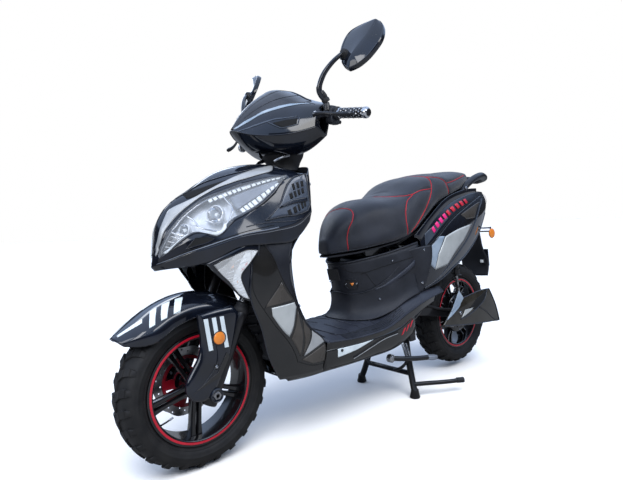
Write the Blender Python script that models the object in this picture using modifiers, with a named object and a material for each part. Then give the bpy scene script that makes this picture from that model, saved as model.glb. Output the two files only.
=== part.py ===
"""Electric moped scooter on its centre stand.

Metres, +X forward, +Y to the rider's left, +Z up.  The origin is on the ground, under the middle
of the machine's length.  Each piece is its own object; a moving piece hangs from an empty that
stands on its joint's axis.
"""
import math

import bmesh
import bpy
from mathutils import Matrix, Vector

# ---------------------------------------------------------------- driving dimensions
TYRE_RADIUS = 0.2365
TYRE_HALF_WIDTH = 0.059
RIM_RADIUS = 0.1665
SEAT_RADIUS = 0.1525
RIM_HALF_WIDTH = 0.048
FRONT_AXLE = Vector((0.705, 0.0, TYRE_RADIUS))
REAR_AXLE = Vector((-0.645, 0.0, 0.258))
AXLE_RADIUS = 0.0075
RAKE = math.radians(26.0)
FORK_OFFSET = 0.032
FORK_HALF = 0.105
SWING_PIVOT = Vector((-0.25, 0.0, 0.33))
SWING_HALF = 0.088
STAND_PIVOT = Vector((-0.19, 0.0, 0.235))
STAND_FOOT = Vector((-0.162, 0.145, 0.0))
SIDE_STAND_PIVOT = Vector((-0.03, 0.14, 0.185))
SEAT_HINGE = Vector((0.195, 0.0, 0.572))
SHOCK_TOP = Vector((-0.50, 0.118, 0.60))
SHOCK_FOOT = Vector((-0.55, 0.118, 0.318))
BAR_IN = Vector((0.300, 0.200, 1.058))
BAR_OUT = Vector((0.2765, 0.357, 1.031))
BAR_RADIUS = 0.011
LEVER_PIVOT = Vector((0.358, 0.205, 1.045))
MIRROR_FOOT = Vector((0.320, 0.219, 1.090))
MIRROR_BALL = Vector((0.291, 0.274, 1.231))
MIRROR_CENTRE = Vector((0.250, 0.318, 1.245))
KEY_PLACE = Vector((0.3165, -0.08, 0.80))
FLAP_HINGE = Vector((0.1225, 0, 0.535))
SHELL = 0.003
GAP = 0.0005
X_AXIS = Vector((1.0, 0.0, 0.0))
Y_AXIS = Vector((0.0, 1.0, 0.0))
Z_AXIS = Vector((0.0, 0.0, 1.0))

UP_FORK = Vector((-math.sin(RAKE), 0.0, math.cos(RAKE)))
AHEAD_FORK = Vector((math.cos(RAKE), 0.0, math.sin(RAKE)))

MATERIALS = {
    "gloss_black": ((0.012, 0.012, 0.015), 0.08, 0.0),
    "matte_black": ((0.03, 0.033, 0.04), 0.6, 0.0),
    "frame_black": ((0.02, 0.02, 0.022), 0.4, 0.6),
    "rubber": ((0.02, 0.02, 0.02), 0.8, 0.0),
    "rim_black": ((0.015, 0.015, 0.017), 0.25, 0.7),
    "steel": ((0.6, 0.6, 0.62), 0.3, 1.0),
    "chrome": ((0.8, 0.8, 0.82), 0.1, 1.0),
    "clear": ((0.9, 0.92, 0.95), 0.05, 0.0),
    "smoke": ((0.04, 0.04, 0.045), 0.1, 0.0),
    "vinyl": ((0.035, 0.037, 0.045), 0.5, 0.0),
    "red": ((0.6, 0.02, 0.03), 0.35, 0.0),
    "battery_grey": ((0.2, 0.21, 0.22), 0.5, 0.2),
}


# ---------------------------------------------------------------- helpers
def clear_scene():
    for item in list(bpy.data.objects):
        bpy.data.objects.remove(item, do_unlink=True)


def new_collection(name):
    collection = bpy.data.collections.new(name)
    bpy.context.scene.collection.children.link(collection)
    return collection


def make_material(name):
    colour, roughness, metallic = MATERIALS[name]
    material = bpy.data.materials.new(name)
    material.use_nodes = True
    shader = material.node_tree.nodes["Principled BSDF"]
    shader.inputs["Base Color"].default_value = (*colour, 1.0)
    shader.inputs["Roughness"].default_value = roughness
    shader.inputs["Metallic"].default_value = metallic
    return material


def mesh_object(name, points, faces):
    mesh = bpy.data.meshes.new(name)
    mesh.from_pydata([tuple(point) for point in points], [], faces)
    mesh.update()
    piece = bpy.data.objects.new(name, mesh)
    PARTS.objects.link(piece)
    return piece


def baked(piece, name):
    """Replace an object by a plain mesh of its evaluated shape in world space."""
    bpy.context.view_layer.update()
    evaluated = piece.evaluated_get(bpy.context.evaluated_depsgraph_get())
    mesh = bpy.data.meshes.new_from_object(evaluated)
    mesh.transform(piece.matrix_world)
    shape = bmesh.new()
    shape.from_mesh(mesh)
    bmesh.ops.remove_doubles(shape, verts=shape.verts, dist=1e-5)
    shape.to_mesh(mesh)
    shape.free()
    bpy.data.objects.remove(piece, do_unlink=True)
    fresh = bpy.data.objects.new(name, mesh)
    PARTS.objects.link(fresh)
    return fresh


def combine(piece, tools, operation):
    name = piece.name
    for tool in tools:
        step = piece.modifiers.new(operation.lower(), "BOOLEAN")
        step.operation = operation
        step.solver = "EXACT"
        step.object = tool
    fresh = baked(piece, name)
    for tool in tools:
        bpy.data.objects.remove(tool, do_unlink=True)
    fresh.name = name
    return fresh


def fuse(piece, others):
    return combine(piece, others, "UNION")


def cut(piece, tools):
    return combine(piece, tools, "DIFFERENCE")


def box(name, size, centre, turn=(0.0, 0.0, 0.0), bevel=0.0):
    bpy.ops.mesh.primitive_cube_add(size=1.0, location=centre, rotation=turn)
    piece = bpy.context.object
    piece.name = name
    piece.data.transform(Matrix.Diagonal((*size, 1.0)))
    for collection in list(piece.users_collection):
        collection.objects.unlink(piece)
    PARTS.objects.link(piece)
    if bevel:
        edge = piece.modifiers.new("bevel", "BEVEL")
        edge.width = bevel
        edge.segments = 2
    return piece


def rod(name, start, end, radius, sides=12):
    """A solid cylinder between two points."""
    start = Vector(start)
    end = Vector(end)
    shape = bmesh.new()
    bmesh.ops.create_cone(
        shape, cap_ends=True, segments=sides, radius1=radius, radius2=radius,
        depth=(end - start).length)
    turn = (end - start).to_track_quat("Z", "Y").to_matrix().to_4x4()
    bmesh.ops.transform(shape, verts=shape.verts, matrix=Matrix.Translation((start + end) / 2) @ turn)
    mesh = bpy.data.meshes.new(name)
    shape.to_mesh(mesh)
    shape.free()
    piece = bpy.data.objects.new(name, mesh)
    PARTS.objects.link(piece)
    return piece


def tube(name, points, radius, resolution=2):
    """A round bar along a polyline, made into a mesh so that it can be fused."""
    curve = bpy.data.curves.new(name, "CURVE")
    curve.dimensions = "3D"
    curve.bevel_depth = radius
    curve.bevel_resolution = resolution
    curve.use_fill_caps = True
    spline = curve.splines.new("POLY")
    spline.points.add(len(points) - 1)
    for knot, point in zip(spline.points, points):
        knot.co = (*point, 1.0)
    piece = bpy.data.objects.new(name, curve)
    PARTS.objects.link(piece)
    return baked(piece, name)


def plate(name, outline, thickness, place):
    """A flat plate: an outline in its own XY plane, placed by a matrix."""
    curve = bpy.data.curves.new(name, "CURVE")
    curve.dimensions = "2D"
    curve.fill_mode = "BOTH"
    curve.extrude = thickness / 2
    spline = curve.splines.new("POLY")
    spline.points.add(len(outline) - 1)
    for knot, point in zip(spline.points, outline):
        knot.co = (*point, 0.0, 1.0)
    spline.use_cyclic_u = True
    piece = bpy.data.objects.new(name, curve)
    piece.matrix_world = place
    PARTS.objects.link(piece)
    return baked(piece, name)


def turned(name, profile, centre, axis, steps=24, closed=False):
    """Revolve a profile of (radius, height) pairs, listed down its outer side."""
    points = [(radius, 0.0, height) for radius, height in profile]
    edges = [(i, i + 1) for i in range(len(points) - 1)]
    if closed:
        edges.append((len(points) - 1, 0))
    mesh = bpy.data.meshes.new(name)
    mesh.from_pydata(points, edges, [])
    piece = bpy.data.objects.new(name, mesh)
    PARTS.objects.link(piece)
    spin = piece.modifiers.new("spin", "SCREW")
    spin.steps = steps
    spin.render_steps = steps
    spin.use_merge_vertices = True
    spin.merge_threshold = 0.00005
    turn = Vector(axis).to_track_quat("Z", "Y").to_matrix().to_4x4()
    piece.matrix_world = Matrix.Translation(centre) @ turn
    fresh = baked(piece, name)
    for face in fresh.data.polygons:
        face.use_smooth = True
    fresh.data.set_sharp_from_angle(angle=math.radians(35))
    return fresh


def ring(name, start, end, inner, outer, steps=20):
    """A hollow sleeve between two points."""
    start = Vector(start)
    end = Vector(end)
    half = (end - start).length / 2
    profile = [(outer, half), (outer, -half), (inner, -half), (inner, half)]
    return turned(name, profile, (start + end) / 2, end - start, steps, closed=True)


def panel(name, rows, thickness=SHELL, mirrored=False, hole=None, inward=True):
    """A thin shell over a grid of points; hole(row, column) leaves a grid face out."""
    width = len(rows[0])
    points = [point for row in rows for point in row]
    faces = []
    for i in range(len(rows) - 1):
        for j in range(width - 1):
            if hole is None or not hole(i, j):
                corner = i * width + j
                faces.append((corner, corner + width, corner + width + 1, corner + 1))
    piece = mesh_object(name, points, faces)
    shape = bmesh.new()
    shape.from_mesh(piece.data)
    loose = [vertex for vertex in shape.verts if not vertex.link_faces]
    bmesh.ops.delete(shape, geom=loose, context="VERTS")
    shape.to_mesh(piece.data)
    shape.free()
    if mirrored:
        mirror = piece.modifiers.new("mirror", "MIRROR")
        mirror.use_axis = (False, True, False)
        mirror.use_clip = True
        mirror.merge_threshold = 0.0001
    skin = piece.modifiers.new("skin", "SOLIDIFY")
    skin.thickness = thickness
    skin.offset = -1.0 if inward else 1.0
    skin.use_even_offset = False
    return piece


def loft(name, sections):
    """A closed solid through rings of points, with flat ends."""
    size = len(sections[0])
    points = [point for section in sections for point in section]
    faces = [tuple(range(size - 1, -1, -1))]
    for i in range(len(sections) - 1):
        for j in range(size):
            a = i * size + j
            b = i * size + (j + 1) % size
            faces.append((a, b, b + size, a + size))
    last = (len(sections) - 1) * size
    faces.append(tuple(range(last, last + size)))
    piece = mesh_object(name, points, faces)
    shape = bmesh.new()
    shape.from_mesh(piece.data)
    bmesh.ops.recalc_face_normals(shape, faces=shape.faces)
    shape.to_mesh(piece.data)
    shape.free()
    return piece


def flipped(rows):
    """The same grid on the right-hand side, wound so that it still faces out."""
    return [[(x, -y, z) for x, y, z in row] for row in reversed(rows)]


def across(point):
    return Vector((point[0], -point[1], point[2]))


def fork_point(up, ahead=0.0, side=0.0):
    """A point by its distance up the fork legs' line from the axle."""
    return FRONT_AXLE + UP_FORK * up + AHEAD_FORK * ahead + Y_AXIS * side


def along(start, end, share):
    return start + (end - start) * share


def pivot(name, place):
    empty = bpy.data.objects.new("pivot_" + name, None)
    empty.location = place
    empty.empty_display_size = 0.03
    GUIDES.objects.link(empty)
    return empty


def finish(piece, material, parent=None):
    piece.data.materials.clear()
    piece.data.materials.append(PAINT[material])
    if parent is not None:
        bpy.context.view_layer.update()
        piece.parent = parent
        piece.matrix_parent_inverse = parent.matrix_world.inverted()
    return piece


# ---------------------------------------------------------------- chassis
def build_frame():
    half = 0.110
    frame = rod("frame", fork_point(0.43, -FORK_OFFSET), fork_point(0.60, -FORK_OFFSET), 0.027, 20)
    down = tube("down", [(0.4375, 0, 0.685), (0.385, 0, 0.60), (0.378, 0, 0.262)], 0.018)
    pieces = [down]
    for side in (-1, 1):
        rail = [(0.385, 0.0, 0.270), (0.37, 0.06 * side, 0.262), (0.33, half * side, 0.255),
                (-0.12, half * side, 0.255), (SWING_PIVOT.x, half * side, SWING_PIVOT.z),
                (-0.33, half * side, 0.58), (-0.60, 0.095 * side, 0.69), (-0.80, 0.06 * side, 0.755)]
        pieces.append(tube("rail", rail, 0.013))
        pieces.append(box("lug", (0.034, 0.008, 0.085), (STAND_PIVOT.x, 0.121 * side, 0.262)))
    pieces.append(rod("swing_shaft", SWING_PIVOT - Y_AXIS * half, SWING_PIVOT + Y_AXIS * half, 0.012))
    pieces.append(rod("stand_shaft", STAND_PIVOT - Y_AXIS * 0.12, STAND_PIVOT + Y_AXIS * 0.12, 0.0085))
    pieces.append(rod("seat_bridge", (-0.345, -0.109, 0.588), (-0.345, 0.109, 0.588), 0.011, 8))
    pieces.append(rod("tail_bridge", (-0.78, -0.06, 0.749), (-0.78, 0.06, 0.749), 0.010, 8))
    pieces.append(rod("shock_pin", SHOCK_TOP - Y_AXIS * 0.02, SHOCK_TOP + Y_AXIS * 0.014, 0.006))
    pieces.append(rod("shock_post", SHOCK_TOP - Y_AXIS * 0.018, (-0.52, 0.1, 0.66), 0.007, 8))
    bore = rod("bore", fork_point(0.40, -FORK_OFFSET), fork_point(0.62, -FORK_OFFSET), 0.0178, 20)
    finish(cut(fuse(frame, pieces), [bore]), "frame_black")


def cowl_rows():
    """Half the front cowl: five lines from the nose rearwards, crown to chin."""
    crown = [(0.812, 0, 0.660), (0.810, 0, 0.666), (0.797, 0, 0.730), (0.776, 0, 0.764),
             (0.694, 0, 0.823), (0.600, 0, 0.882), (0.500, 0, 0.908), (0.440, 0, 0.912)]
    upper = [(0.812, 0, 0.645), (0.806, 0.018, 0.660), (0.790, 0.040, 0.700), (0.756, 0.047, 0.728),
             (0.690, 0.060, 0.772), (0.580, 0.100, 0.832), (0.448, 0.155, 0.862), (0.395, 0.162, 0.868)]
    lower = [(0.818, 0, 0.617), (0.790, 0.055, 0.645), (0.755, 0.085, 0.668), (0.700, 0.112, 0.690),
             (0.635, 0.137, 0.712), (0.560, 0.160, 0.765), (0.456, 0.172, 0.845), (0.383, 0.188, 0.862)]
    lip = [(0.822, 0, 0.602), (0.785, 0.058, 0.622), (0.745, 0.092, 0.640), (0.690, 0.122, 0.656),
           (0.610, 0.158, 0.680), (0.520, 0.185, 0.692), (0.430, 0.199, 0.712), (0.385, 0.201, 0.745)]
    chin = [(0.812, 0, 0.590), (0.775, 0.052, 0.597), (0.735, 0.084, 0.600), (0.690, 0.114, 0.612),
            (0.620, 0.151, 0.648), (0.535, 0.178, 0.652), (0.455, 0.192, 0.658), (0.392, 0.198, 0.715)]
    return crown, upper, lower, lip, chin


def build_front():
    crown, upper, lower, lip, chin = cowl_rows()
    rows = [crown, upper, lower, lip, chin]

    def lens_hole(i, j):
        return (i == 1 and j < 6) or (i == 0 and j == 0)

    cowl = panel("front_cowl", rows, mirrored=True, hole=lens_hole)
    finish(cowl, "gloss_black")
    inset = 0.12
    top = [Vector(a).lerp(Vector(b), inset) for a, b in zip(upper[:6], lower[:6])]
    low = [Vector(b).lerp(Vector(a), inset) for a, b in zip(upper[:6], lower[:6])]
    tip = Vector(upper[6]).lerp(Vector(lower[6]), 0.3)
    top.append(top[-1].lerp(tip, 0.9))
    low.append(low[-1].lerp(Vector(upper[6]).lerp(Vector(lower[6]), 0.7), 0.9))
    finish(panel("headlight_lens", [top, low], mirrored=True), "clear")
    back = Vector((-0.024, 0.0, -0.010))
    bowl_top = [p + back - Vector((0, 0.10 * p.y, 0)) for p in top]
    bowl_low = [p + back - Vector((0, 0.10 * p.y, 0)) for p in low]
    finish(panel("headlight_unit", [bowl_top, bowl_low], mirrored=True), "chrome")


def build_leg_shields():
    rows = [
        [(0.588, 0.152, 0.664), (0.53, 0.168, 0.667), (0.48, 0.179, 0.672), (0.445, 0.184, 0.682)],
        [(0.590, 0.163, 0.600), (0.53, 0.177, 0.600), (0.50, 0.185, 0.600), (0.472, 0.188, 0.600)],
        [(0.600, 0.162, 0.505), (0.55, 0.176, 0.500), (0.50, 0.183, 0.490), (0.452, 0.182, 0.480)],
        [(0.565, 0.162, 0.400), (0.52, 0.172, 0.400), (0.46, 0.180, 0.395), (0.405, 0.180, 0.390)],
        [(0.545, 0.160, 0.320), (0.49, 0.168, 0.320), (0.41, 0.176, 0.320), (0.333, 0.177, 0.325)],
        [(0.500, 0.152, 0.235), (0.45, 0.156, 0.230), (0.39, 0.160, 0.225), (0.333, 0.160, 0.222)],
    ]
    finish(panel("leg_shield_left", rows, 0.003), "gloss_black")
    finish(panel("leg_shield_right", flipped(rows), 0.003), "gloss_black")
    lamp = [
        [(0.690, 0.112, 0.604), (0.640, 0.142, 0.625), (0.600, 0.158, 0.642)],
        [(0.668, 0.128, 0.570), (0.632, 0.150, 0.575), (0.604, 0.160, 0.580)],
        [(0.650, 0.138, 0.548), (0.632, 0.150, 0.535), (0.617, 0.156, 0.518)],
    ]
    finish(panel("turn_signal_left", lamp, 0.008), "clear")
    finish(panel("turn_signal_right", flipped(lamp), 0.008), "clear")


def build_inner_shields():
    rows = [
        [(0.300, 0, 0.905), (0.312, 0.10, 0.898), (0.374, 0.172, 0.866)],
        [(0.315, 0, 0.750), (0.325, 0.10, 0.750), (0.380, 0.190, 0.745)],
        [(0.330, 0, 0.600), (0.400, 0.10, 0.600), (0.470, 0.182, 0.600)],
        [(0.322, 0, 0.480), (0.385, 0.10, 0.480), (0.438, 0.173, 0.480)],
        [(0.312, 0, 0.400), (0.350, 0.10, 0.395), (0.395, 0.171, 0.390)],
        [(0.318, 0, 0.345), (0.320, 0.10, 0.342), (0.322, 0.168, 0.336)],
    ]
    finish(panel("inner_leg_shield", rows, 0.0025, mirrored=True, inward=False), "matte_black")
    guard = [
        [(0.417, 0, 0.532), (0.423, 0.06, 0.532), (0.444, 0.116, 0.530)],
        [(0.417, 0, 0.480), (0.423, 0.06, 0.480), (0.448, 0.135, 0.480)],
        [(0.415, 0, 0.350), (0.420, 0.06, 0.350), (0.445, 0.140, 0.350)],
        [(0.422, 0, 0.246), (0.426, 0.06, 0.246), (0.448, 0.140, 0.248)],
    ]
    finish(panel("inner_fender", guard, 0.003, mirrored=True, inward=False), "matte_black")


def build_floor():
    board = [
        [(0.316, 0, 0.328), (0.316, 0.110, 0.325), (0.316, 0.140, 0.322), (0.316, 0.178, 0.318)],
        [(0.135, 0, 0.342), (0.135, 0.110, 0.336), (0.135, 0.140, 0.328), (0.135, 0.186, 0.310)],
        [(0.020, 0, 0.348), (0.020, 0.110, 0.344), (0.020, 0.140, 0.338), (0.020, 0.185, 0.318)],
        [(-0.090, 0, 0.360), (-0.090, 0.110, 0.368), (-0.090, 0.145, 0.388), (-0.090, 0.180, 0.350)],
        [(-0.200, 0, 0.40), (-0.200, 0.110, 0.40), (-0.200, 0.145, 0.412), (-0.200, 0.176, 0.380)],
        [(-0.365, 0, 0.44), (-0.365, 0.110, 0.44), (-0.365, 0.137, 0.425), (-0.365, 0.158, 0.402)],
    ]

    def seat_tower(i, j):
        return i >= 3 and j < 2

    finish(panel("footboard", board, 0.004, mirrored=True, hole=seat_tower, inward=False), "matte_black")
    skirt = [
        [(0.432, 0, 0.206), (0.434, 0.09, 0.208), (0.455, 0.133, 0.218), (0.465, 0.138, 0.240)],
        [(0.340, 0, 0.205), (0.340, 0.09, 0.207), (0.340, 0.140, 0.214), (0.340, 0.148, 0.240)],
        [(0.322, 0, 0.205), (0.322, 0.10, 0.207), (0.322, 0.158, 0.222), (0.322, 0.172, 0.296)],
        [(0.100, 0, 0.206), (0.100, 0.10, 0.208), (0.100, 0.160, 0.222), (0.100, 0.182, 0.296)],
        [(-0.060, 0, 0.213), (-0.060, 0.10, 0.215), (-0.060, 0.162, 0.234), (-0.060, 0.177, 0.312)],
        [(-0.145, 0, 0.228), (-0.145, 0.10, 0.232), (-0.145, 0.160, 0.264), (-0.145, 0.170, 0.345)],
    ]
    finish(panel("floor_skirt", list(reversed(skirt)), 0.003, mirrored=True, inward=False), "gloss_black")
    finish(box("battery", (0.35, 0.185, 0.072), (0.142, 0.0, 0.2555), bevel=0.006), "battery_grey")
    finish(box("controller", (0.15, 0.11, 0.05), (-0.03, 0.0, 0.425), bevel=0.004), "steel")


def build_seat_tower():
    rows = [
        [(0.122, 0, 0.560), (0.104, 0.05, 0.560), (0.052, 0.100, 0.572), (-0.03, 0.134, 0.588),
         (-0.12, 0.150, 0.606), (-0.200, 0.157, 0.622)],
        [(0.098, 0, 0.460), (0.082, 0.05, 0.460), (0.030, 0.098, 0.462), (-0.045, 0.130, 0.466),
         (-0.13, 0.145, 0.472), (-0.212, 0.152, 0.480)],
        [(0.085, 0, 0.364), (0.070, 0.05, 0.364), (0.020, 0.096, 0.368), (-0.06, 0.122, 0.400),
         (-0.14, 0.128, 0.424), (-0.224, 0.134, 0.438)],
    ]
    finish(panel("under_seat_cover", rows, 0.003, mirrored=True), "matte_black")
    tub = box("storage_tub", (0.30, 0.186, 0.10), (-0.15, 0.0, 0.515), bevel=0.012)
    hollow = box("hollow", (0.292, 0.178, 0.14), (-0.15, 0.0, 0.539), bevel=0.010)
    finish(cut(baked(tub, "storage_tub"), [baked(hollow, "hollow")]), "matte_black")


def build_tail():
    rows = [
        [(-0.215, 0.158, 0.630), (-0.30, 0.158, 0.705), (-0.42, 0.147, 0.768), (-0.60, 0.122, 0.815),
         (-0.76, 0.090, 0.834), (-0.862, 0.064, 0.834)],
        [(-0.222, 0.166, 0.52), (-0.31, 0.175, 0.60), (-0.43, 0.172, 0.67), (-0.60, 0.148, 0.725),
         (-0.76, 0.115, 0.765), (-0.868, 0.080, 0.79)],
        [(-0.236, 0.152, 0.425), (-0.33, 0.158, 0.445), (-0.45, 0.152, 0.490), (-0.60, 0.132, 0.545),
         (-0.745, 0.107, 0.63), (-0.860, 0.080, 0.735)],
    ]
    finish(panel("side_panel_left", rows, 0.003, inward=False), "gloss_black")
    finish(panel("side_panel_right", flipped(rows), 0.003, inward=False), "gloss_black")
    front = [(-0.878, 0.070, 0.750), (-0.878, 0.066, 0.832),
             (-0.878, -0.066, 0.832), (-0.878, -0.070, 0.750)]
    rear = [(-0.920, 0.054, 0.765), (-0.916, 0.050, 0.825),
            (-0.916, -0.050, 0.825), (-0.920, -0.054, 0.765)]
    finish(loft("tail_light", [front, rear]), "clear")
    rail = [(-0.600, 0.098, 0.728), (-0.605, 0.101, 0.805), (-0.628, 0.112, 0.848), (-0.69, 0.112, 0.884),
            (-0.76, 0.102, 0.904),
            (-0.86, 0.070, 0.914), (-0.915, 0.045, 0.908), (-0.931, 0.018, 0.902)]
    whole = rail + [(x, -y, z) for x, y, z in reversed(rail)]
    finish(tube("grab_rail", whole, 0.0115), "matte_black")
    flap = [
        [(-0.790, 0, 0.735), (-0.790, 0.045, 0.735)],
        [(-0.822, 0, 0.660), (-0.822, 0.060, 0.660)],
        [(-0.850, 0, 0.548), (-0.850, 0.068, 0.548)],
        [(-0.888, 0, 0.480), (-0.886, 0.075, 0.480)],
        [(-0.886, 0, 0.410), (-0.884, 0.070, 0.412)],
    ]
    finish(panel("plate_holder", flap, 0.005, mirrored=True), "matte_black")


def build_small_fittings():
    hinge = pivot("charge_flap", FLAP_HINGE)
    flap = box("charge_flap", (0.003, 0.060, 0.045), FLAP_HINGE + Vector((-0.0045, 0, -0.0235)),
               turn=(0, math.radians(13.5), 0))
    finish(flap, "rubber", hinge)
    lock = pivot("ignition_key", KEY_PLACE)
    barrel = rod("ignition_key", KEY_PLACE - X_AXIS * 0.006, KEY_PLACE, 0.009, 16)
    bow = box("bow", (0.026, 0.003, 0.020), KEY_PLACE - X_AXIS * 0.018, bevel=0.001)
    finish(fuse(barrel, [baked(bow, "bow")]), "steel", lock)


# ---------------------------------------------------------------- seat
def seat_section(x, low, high, half):
    """One ring across the seat: flat underside, rolled sides, crowned top."""
    waist = low + 0.45 * (high - low)
    shoulder = low + 0.85 * (high - low)
    side = [(x, half * 0.80, low), (x, half * 0.98, low + 0.006), (x, half, waist),
            (x, half * 0.86, shoulder), (x, half * 0.45, high - 0.003)]
    return side + [(x, -y, z) for x, y, z in reversed(side)]


def build_seat():
    stations = [(0.160, 0.590, 0.650, 0.030), (0.128, 0.594, 0.706, 0.060), (0.075, 0.601, 0.757, 0.100),
                (0.0, 0.614, 0.791, 0.138), (-0.10, 0.632, 0.803, 0.158), (-0.17, 0.655, 0.822, 0.161),
                (-0.25, 0.705, 0.875, 0.157), (-0.36, 0.772, 0.903, 0.146), (-0.50, 0.815, 0.912, 0.128),
                (-0.64, 0.848, 0.930, 0.095), (-0.745, 0.868, 0.932, 0.055)]
    hinge = pivot("seat", SEAT_HINGE)
    cushion = loft("seat_cushion", [seat_section(*station) for station in stations])
    finish(cushion, "vinyl", hinge)
    rows = []
    for x, low, _, half in stations:
        rows.append([(x, 0.0, low - 0.004), (x, half * 0.5, low - 0.004), (x, half * 0.88, low - 0.004)])
    finish(panel("seat_pan", rows, 0.006, mirrored=True, inward=False), "matte_black", hinge)


# ---------------------------------------------------------------- steering
def build_steering():
    hinge = pivot("steering", fork_point(0.515, -FORK_OFFSET))
    stem = rod("steering_stem", fork_point(0.39, -FORK_OFFSET), fork_point(0.845, -FORK_OFFSET), 0.0172, 20)
    yoke = box("yoke", (0.070, 0.262, 0.026), fork_point(0.407, -0.016), turn=(0, -RAKE, 0), bevel=0.006)
    legs = [rod("stanchion", fork_point(0.12, side=side), fork_point(0.41, side=side), 0.0165, 20)
            for side in (-FORK_HALF, FORK_HALF)]
    finish(fuse(stem, [baked(yoke, "yoke")] + legs), "steel", hinge)
    middle = [(0.3145, 0.0, 1.0145), (0.318, 0.06, 1.018), BAR_IN]
    left = middle + [BAR_OUT]
    whole = [across(point) for point in reversed(left)] + left[1:]
    finish(tube("handlebar", whole, BAR_RADIUS, 3), "frame_black", hinge)
    rows = [
        [(0.285, 0, 1.150), (0.290, 0.07, 1.140), (0.292, 0.14, 1.112), (0.288, 0.200, 1.090)],
        [(0.388, 0, 1.135), (0.380, 0.06, 1.120), (0.350, 0.13, 1.098), (0.318, 0.200, 1.082)],
        [(0.470, 0, 1.090), (0.450, 0.05, 1.075), (0.395, 0.115, 1.055), (0.335, 0.200, 1.050)],
        [(0.539, 0, 1.015), (0.500, 0.045, 1.000), (0.425, 0.10, 0.995), (0.335, 0.200, 1.015)],
        [(0.470, 0, 0.962), (0.440, 0.045, 0.955), (0.385, 0.095, 0.950), (0.320, 0.200, 0.995)],
        [(0.365, 0, 0.940), (0.360, 0.05, 0.940), (0.335, 0.09, 0.940), (0.300, 0.195, 0.990)],
    ]
    finish(panel("handlebar_cover", rows, 0.003, mirrored=True), "gloss_black", hinge)
    hump = [
        [(0.262, 0, 1.170), (0.266, 0.06, 1.162), (0.270, 0.105, 1.145)],
        [(0.340, 0, 1.165), (0.336, 0.055, 1.154), (0.318, 0.100, 1.136)],
        [(0.425, 0, 1.134), (0.410, 0.045, 1.122), (0.368, 0.095, 1.117)],
    ]
    finish(panel("visor", hump, 0.003, mirrored=True, inward=False), "smoke", hinge)
    return hinge


def build_controls(hinge):
    for side, word in ((1, "left"), (-1, "right")):
        place = BAR_IN if side > 0 else across(BAR_IN)
        end = BAR_OUT if side > 0 else across(BAR_OUT)
        pod = box("switch_pod_" + word, (0.048, 0.027, 0.062), along(place, end, 0.125) - Z_AXIS * 0.006,
                  turn=(0, 0, side * math.radians(8.6)), bevel=0.006)
        stub = box("stub", (0.041, 0.020, 0.020), (0.3315, side * 0.2165, 1.045))
        hole = rod("hole", along(place, end, -0.5), along(place, end, 1.2), BAR_RADIUS + 0.0006, 20)
        boss = rod("boss", (0.320, side * 0.219, 1.06), (0.320, side * 0.219, 1.0865), 0.009, 12)
        pod = fuse(baked(pod, pod.name), [stub, boss])
        finish(cut(pod, [hole]), "matte_black", hinge)
        grip_start = along(place, end, 0.245)
        sleeve = ring("grip_left" if side > 0 else "throttle_grip", grip_start, along(place, end, 0.985),
                      BAR_RADIUS + 0.0006, 0.0165)
        parent = hinge if side > 0 else pivot("throttle_grip", grip_start)
        finish(sleeve, "chrome", parent)
        brake = pivot("brake_lever_" + word, (LEVER_PIVOT.x, side * LEVER_PIVOT.y, LEVER_PIVOT.z))
        blade = [(0.3665, side * 0.208, 1.045), (0.366, side * 0.235, 1.043), (0.352, side * 0.27, 1.036),
                 (0.341, side * 0.31, 1.028), (0.338, side * 0.345, 1.022)]
        finish(tube("brake_lever_" + word, blade, 0.006), "frame_black", brake)
    horn = rod("horn_button", (0.2635, 0.219, 1.030), (0.2705, 0.219, 1.030), 0.006, 12)
    finish(horn, "rubber", pivot("horn_button", (0.267, 0.219, 1.030)))
    turn = box("turn_switch", (0.007, 0.012, 0.009), (0.2665, 0.2195, 1.049), bevel=0.001)
    finish(turn, "rubber", pivot("turn_switch", (0.2665, 0.2195, 1.049)))
    start = rod("start_button", (0.2635, -0.219, 1.040), (0.2705, -0.219, 1.040), 0.006, 12)
    finish(start, "red", pivot("start_button", (0.267, -0.219, 1.040)))


def build_mirrors():
    head = [(-0.033, -0.080), (-0.074, -0.022), (-0.074, 0.030), (-0.058, 0.066), (-0.022, 0.083),
            (0.044, 0.082), (0.063, 0.010), (0.024, -0.052)]
    for side, word in ((1, "left"), (-1, "right")):
        foot = Vector((MIRROR_FOOT.x, side * MIRROR_FOOT.y, MIRROR_FOOT.z))
        path = [(0.320, 0.219, 1.090), (0.323, 0.219, 1.102), (0.346, 0.216, 1.124), (0.341, 0.228, 1.160),
                (0.322, 0.250, 1.198), tuple(MIRROR_BALL)]
        points = [Vector((x, side * y, z)) for x, y, z in path]
        arm = tube("mirror_arm_" + word, points, 0.0065)
        finish(arm, "matte_black", pivot("mirror_arm_" + word, foot))
        ball = Vector((MIRROR_BALL.x, side * MIRROR_BALL.y, MIRROR_BALL.z))
        outline = [(side * u, w) for u, w in head]
        centre = Vector((MIRROR_CENTRE.x, side * MIRROR_CENTRE.y, MIRROR_CENTRE.z))
        turn = Matrix.Rotation(math.radians(18 * side), 4, "Z") @ Matrix.Rotation(math.radians(-24), 4, "Y")
        facing = turn @ Matrix(((0, 0, 1, 0), (1, 0, 0, 0), (0, 1, 0, 0), (0, 0, 0, 1)))
        shell = plate("mirror_head_" + word, outline, 0.020, Matrix.Translation(centre) @ facing)
        finish(shell, "matte_black", pivot("mirror_head_" + word, ball))


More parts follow.
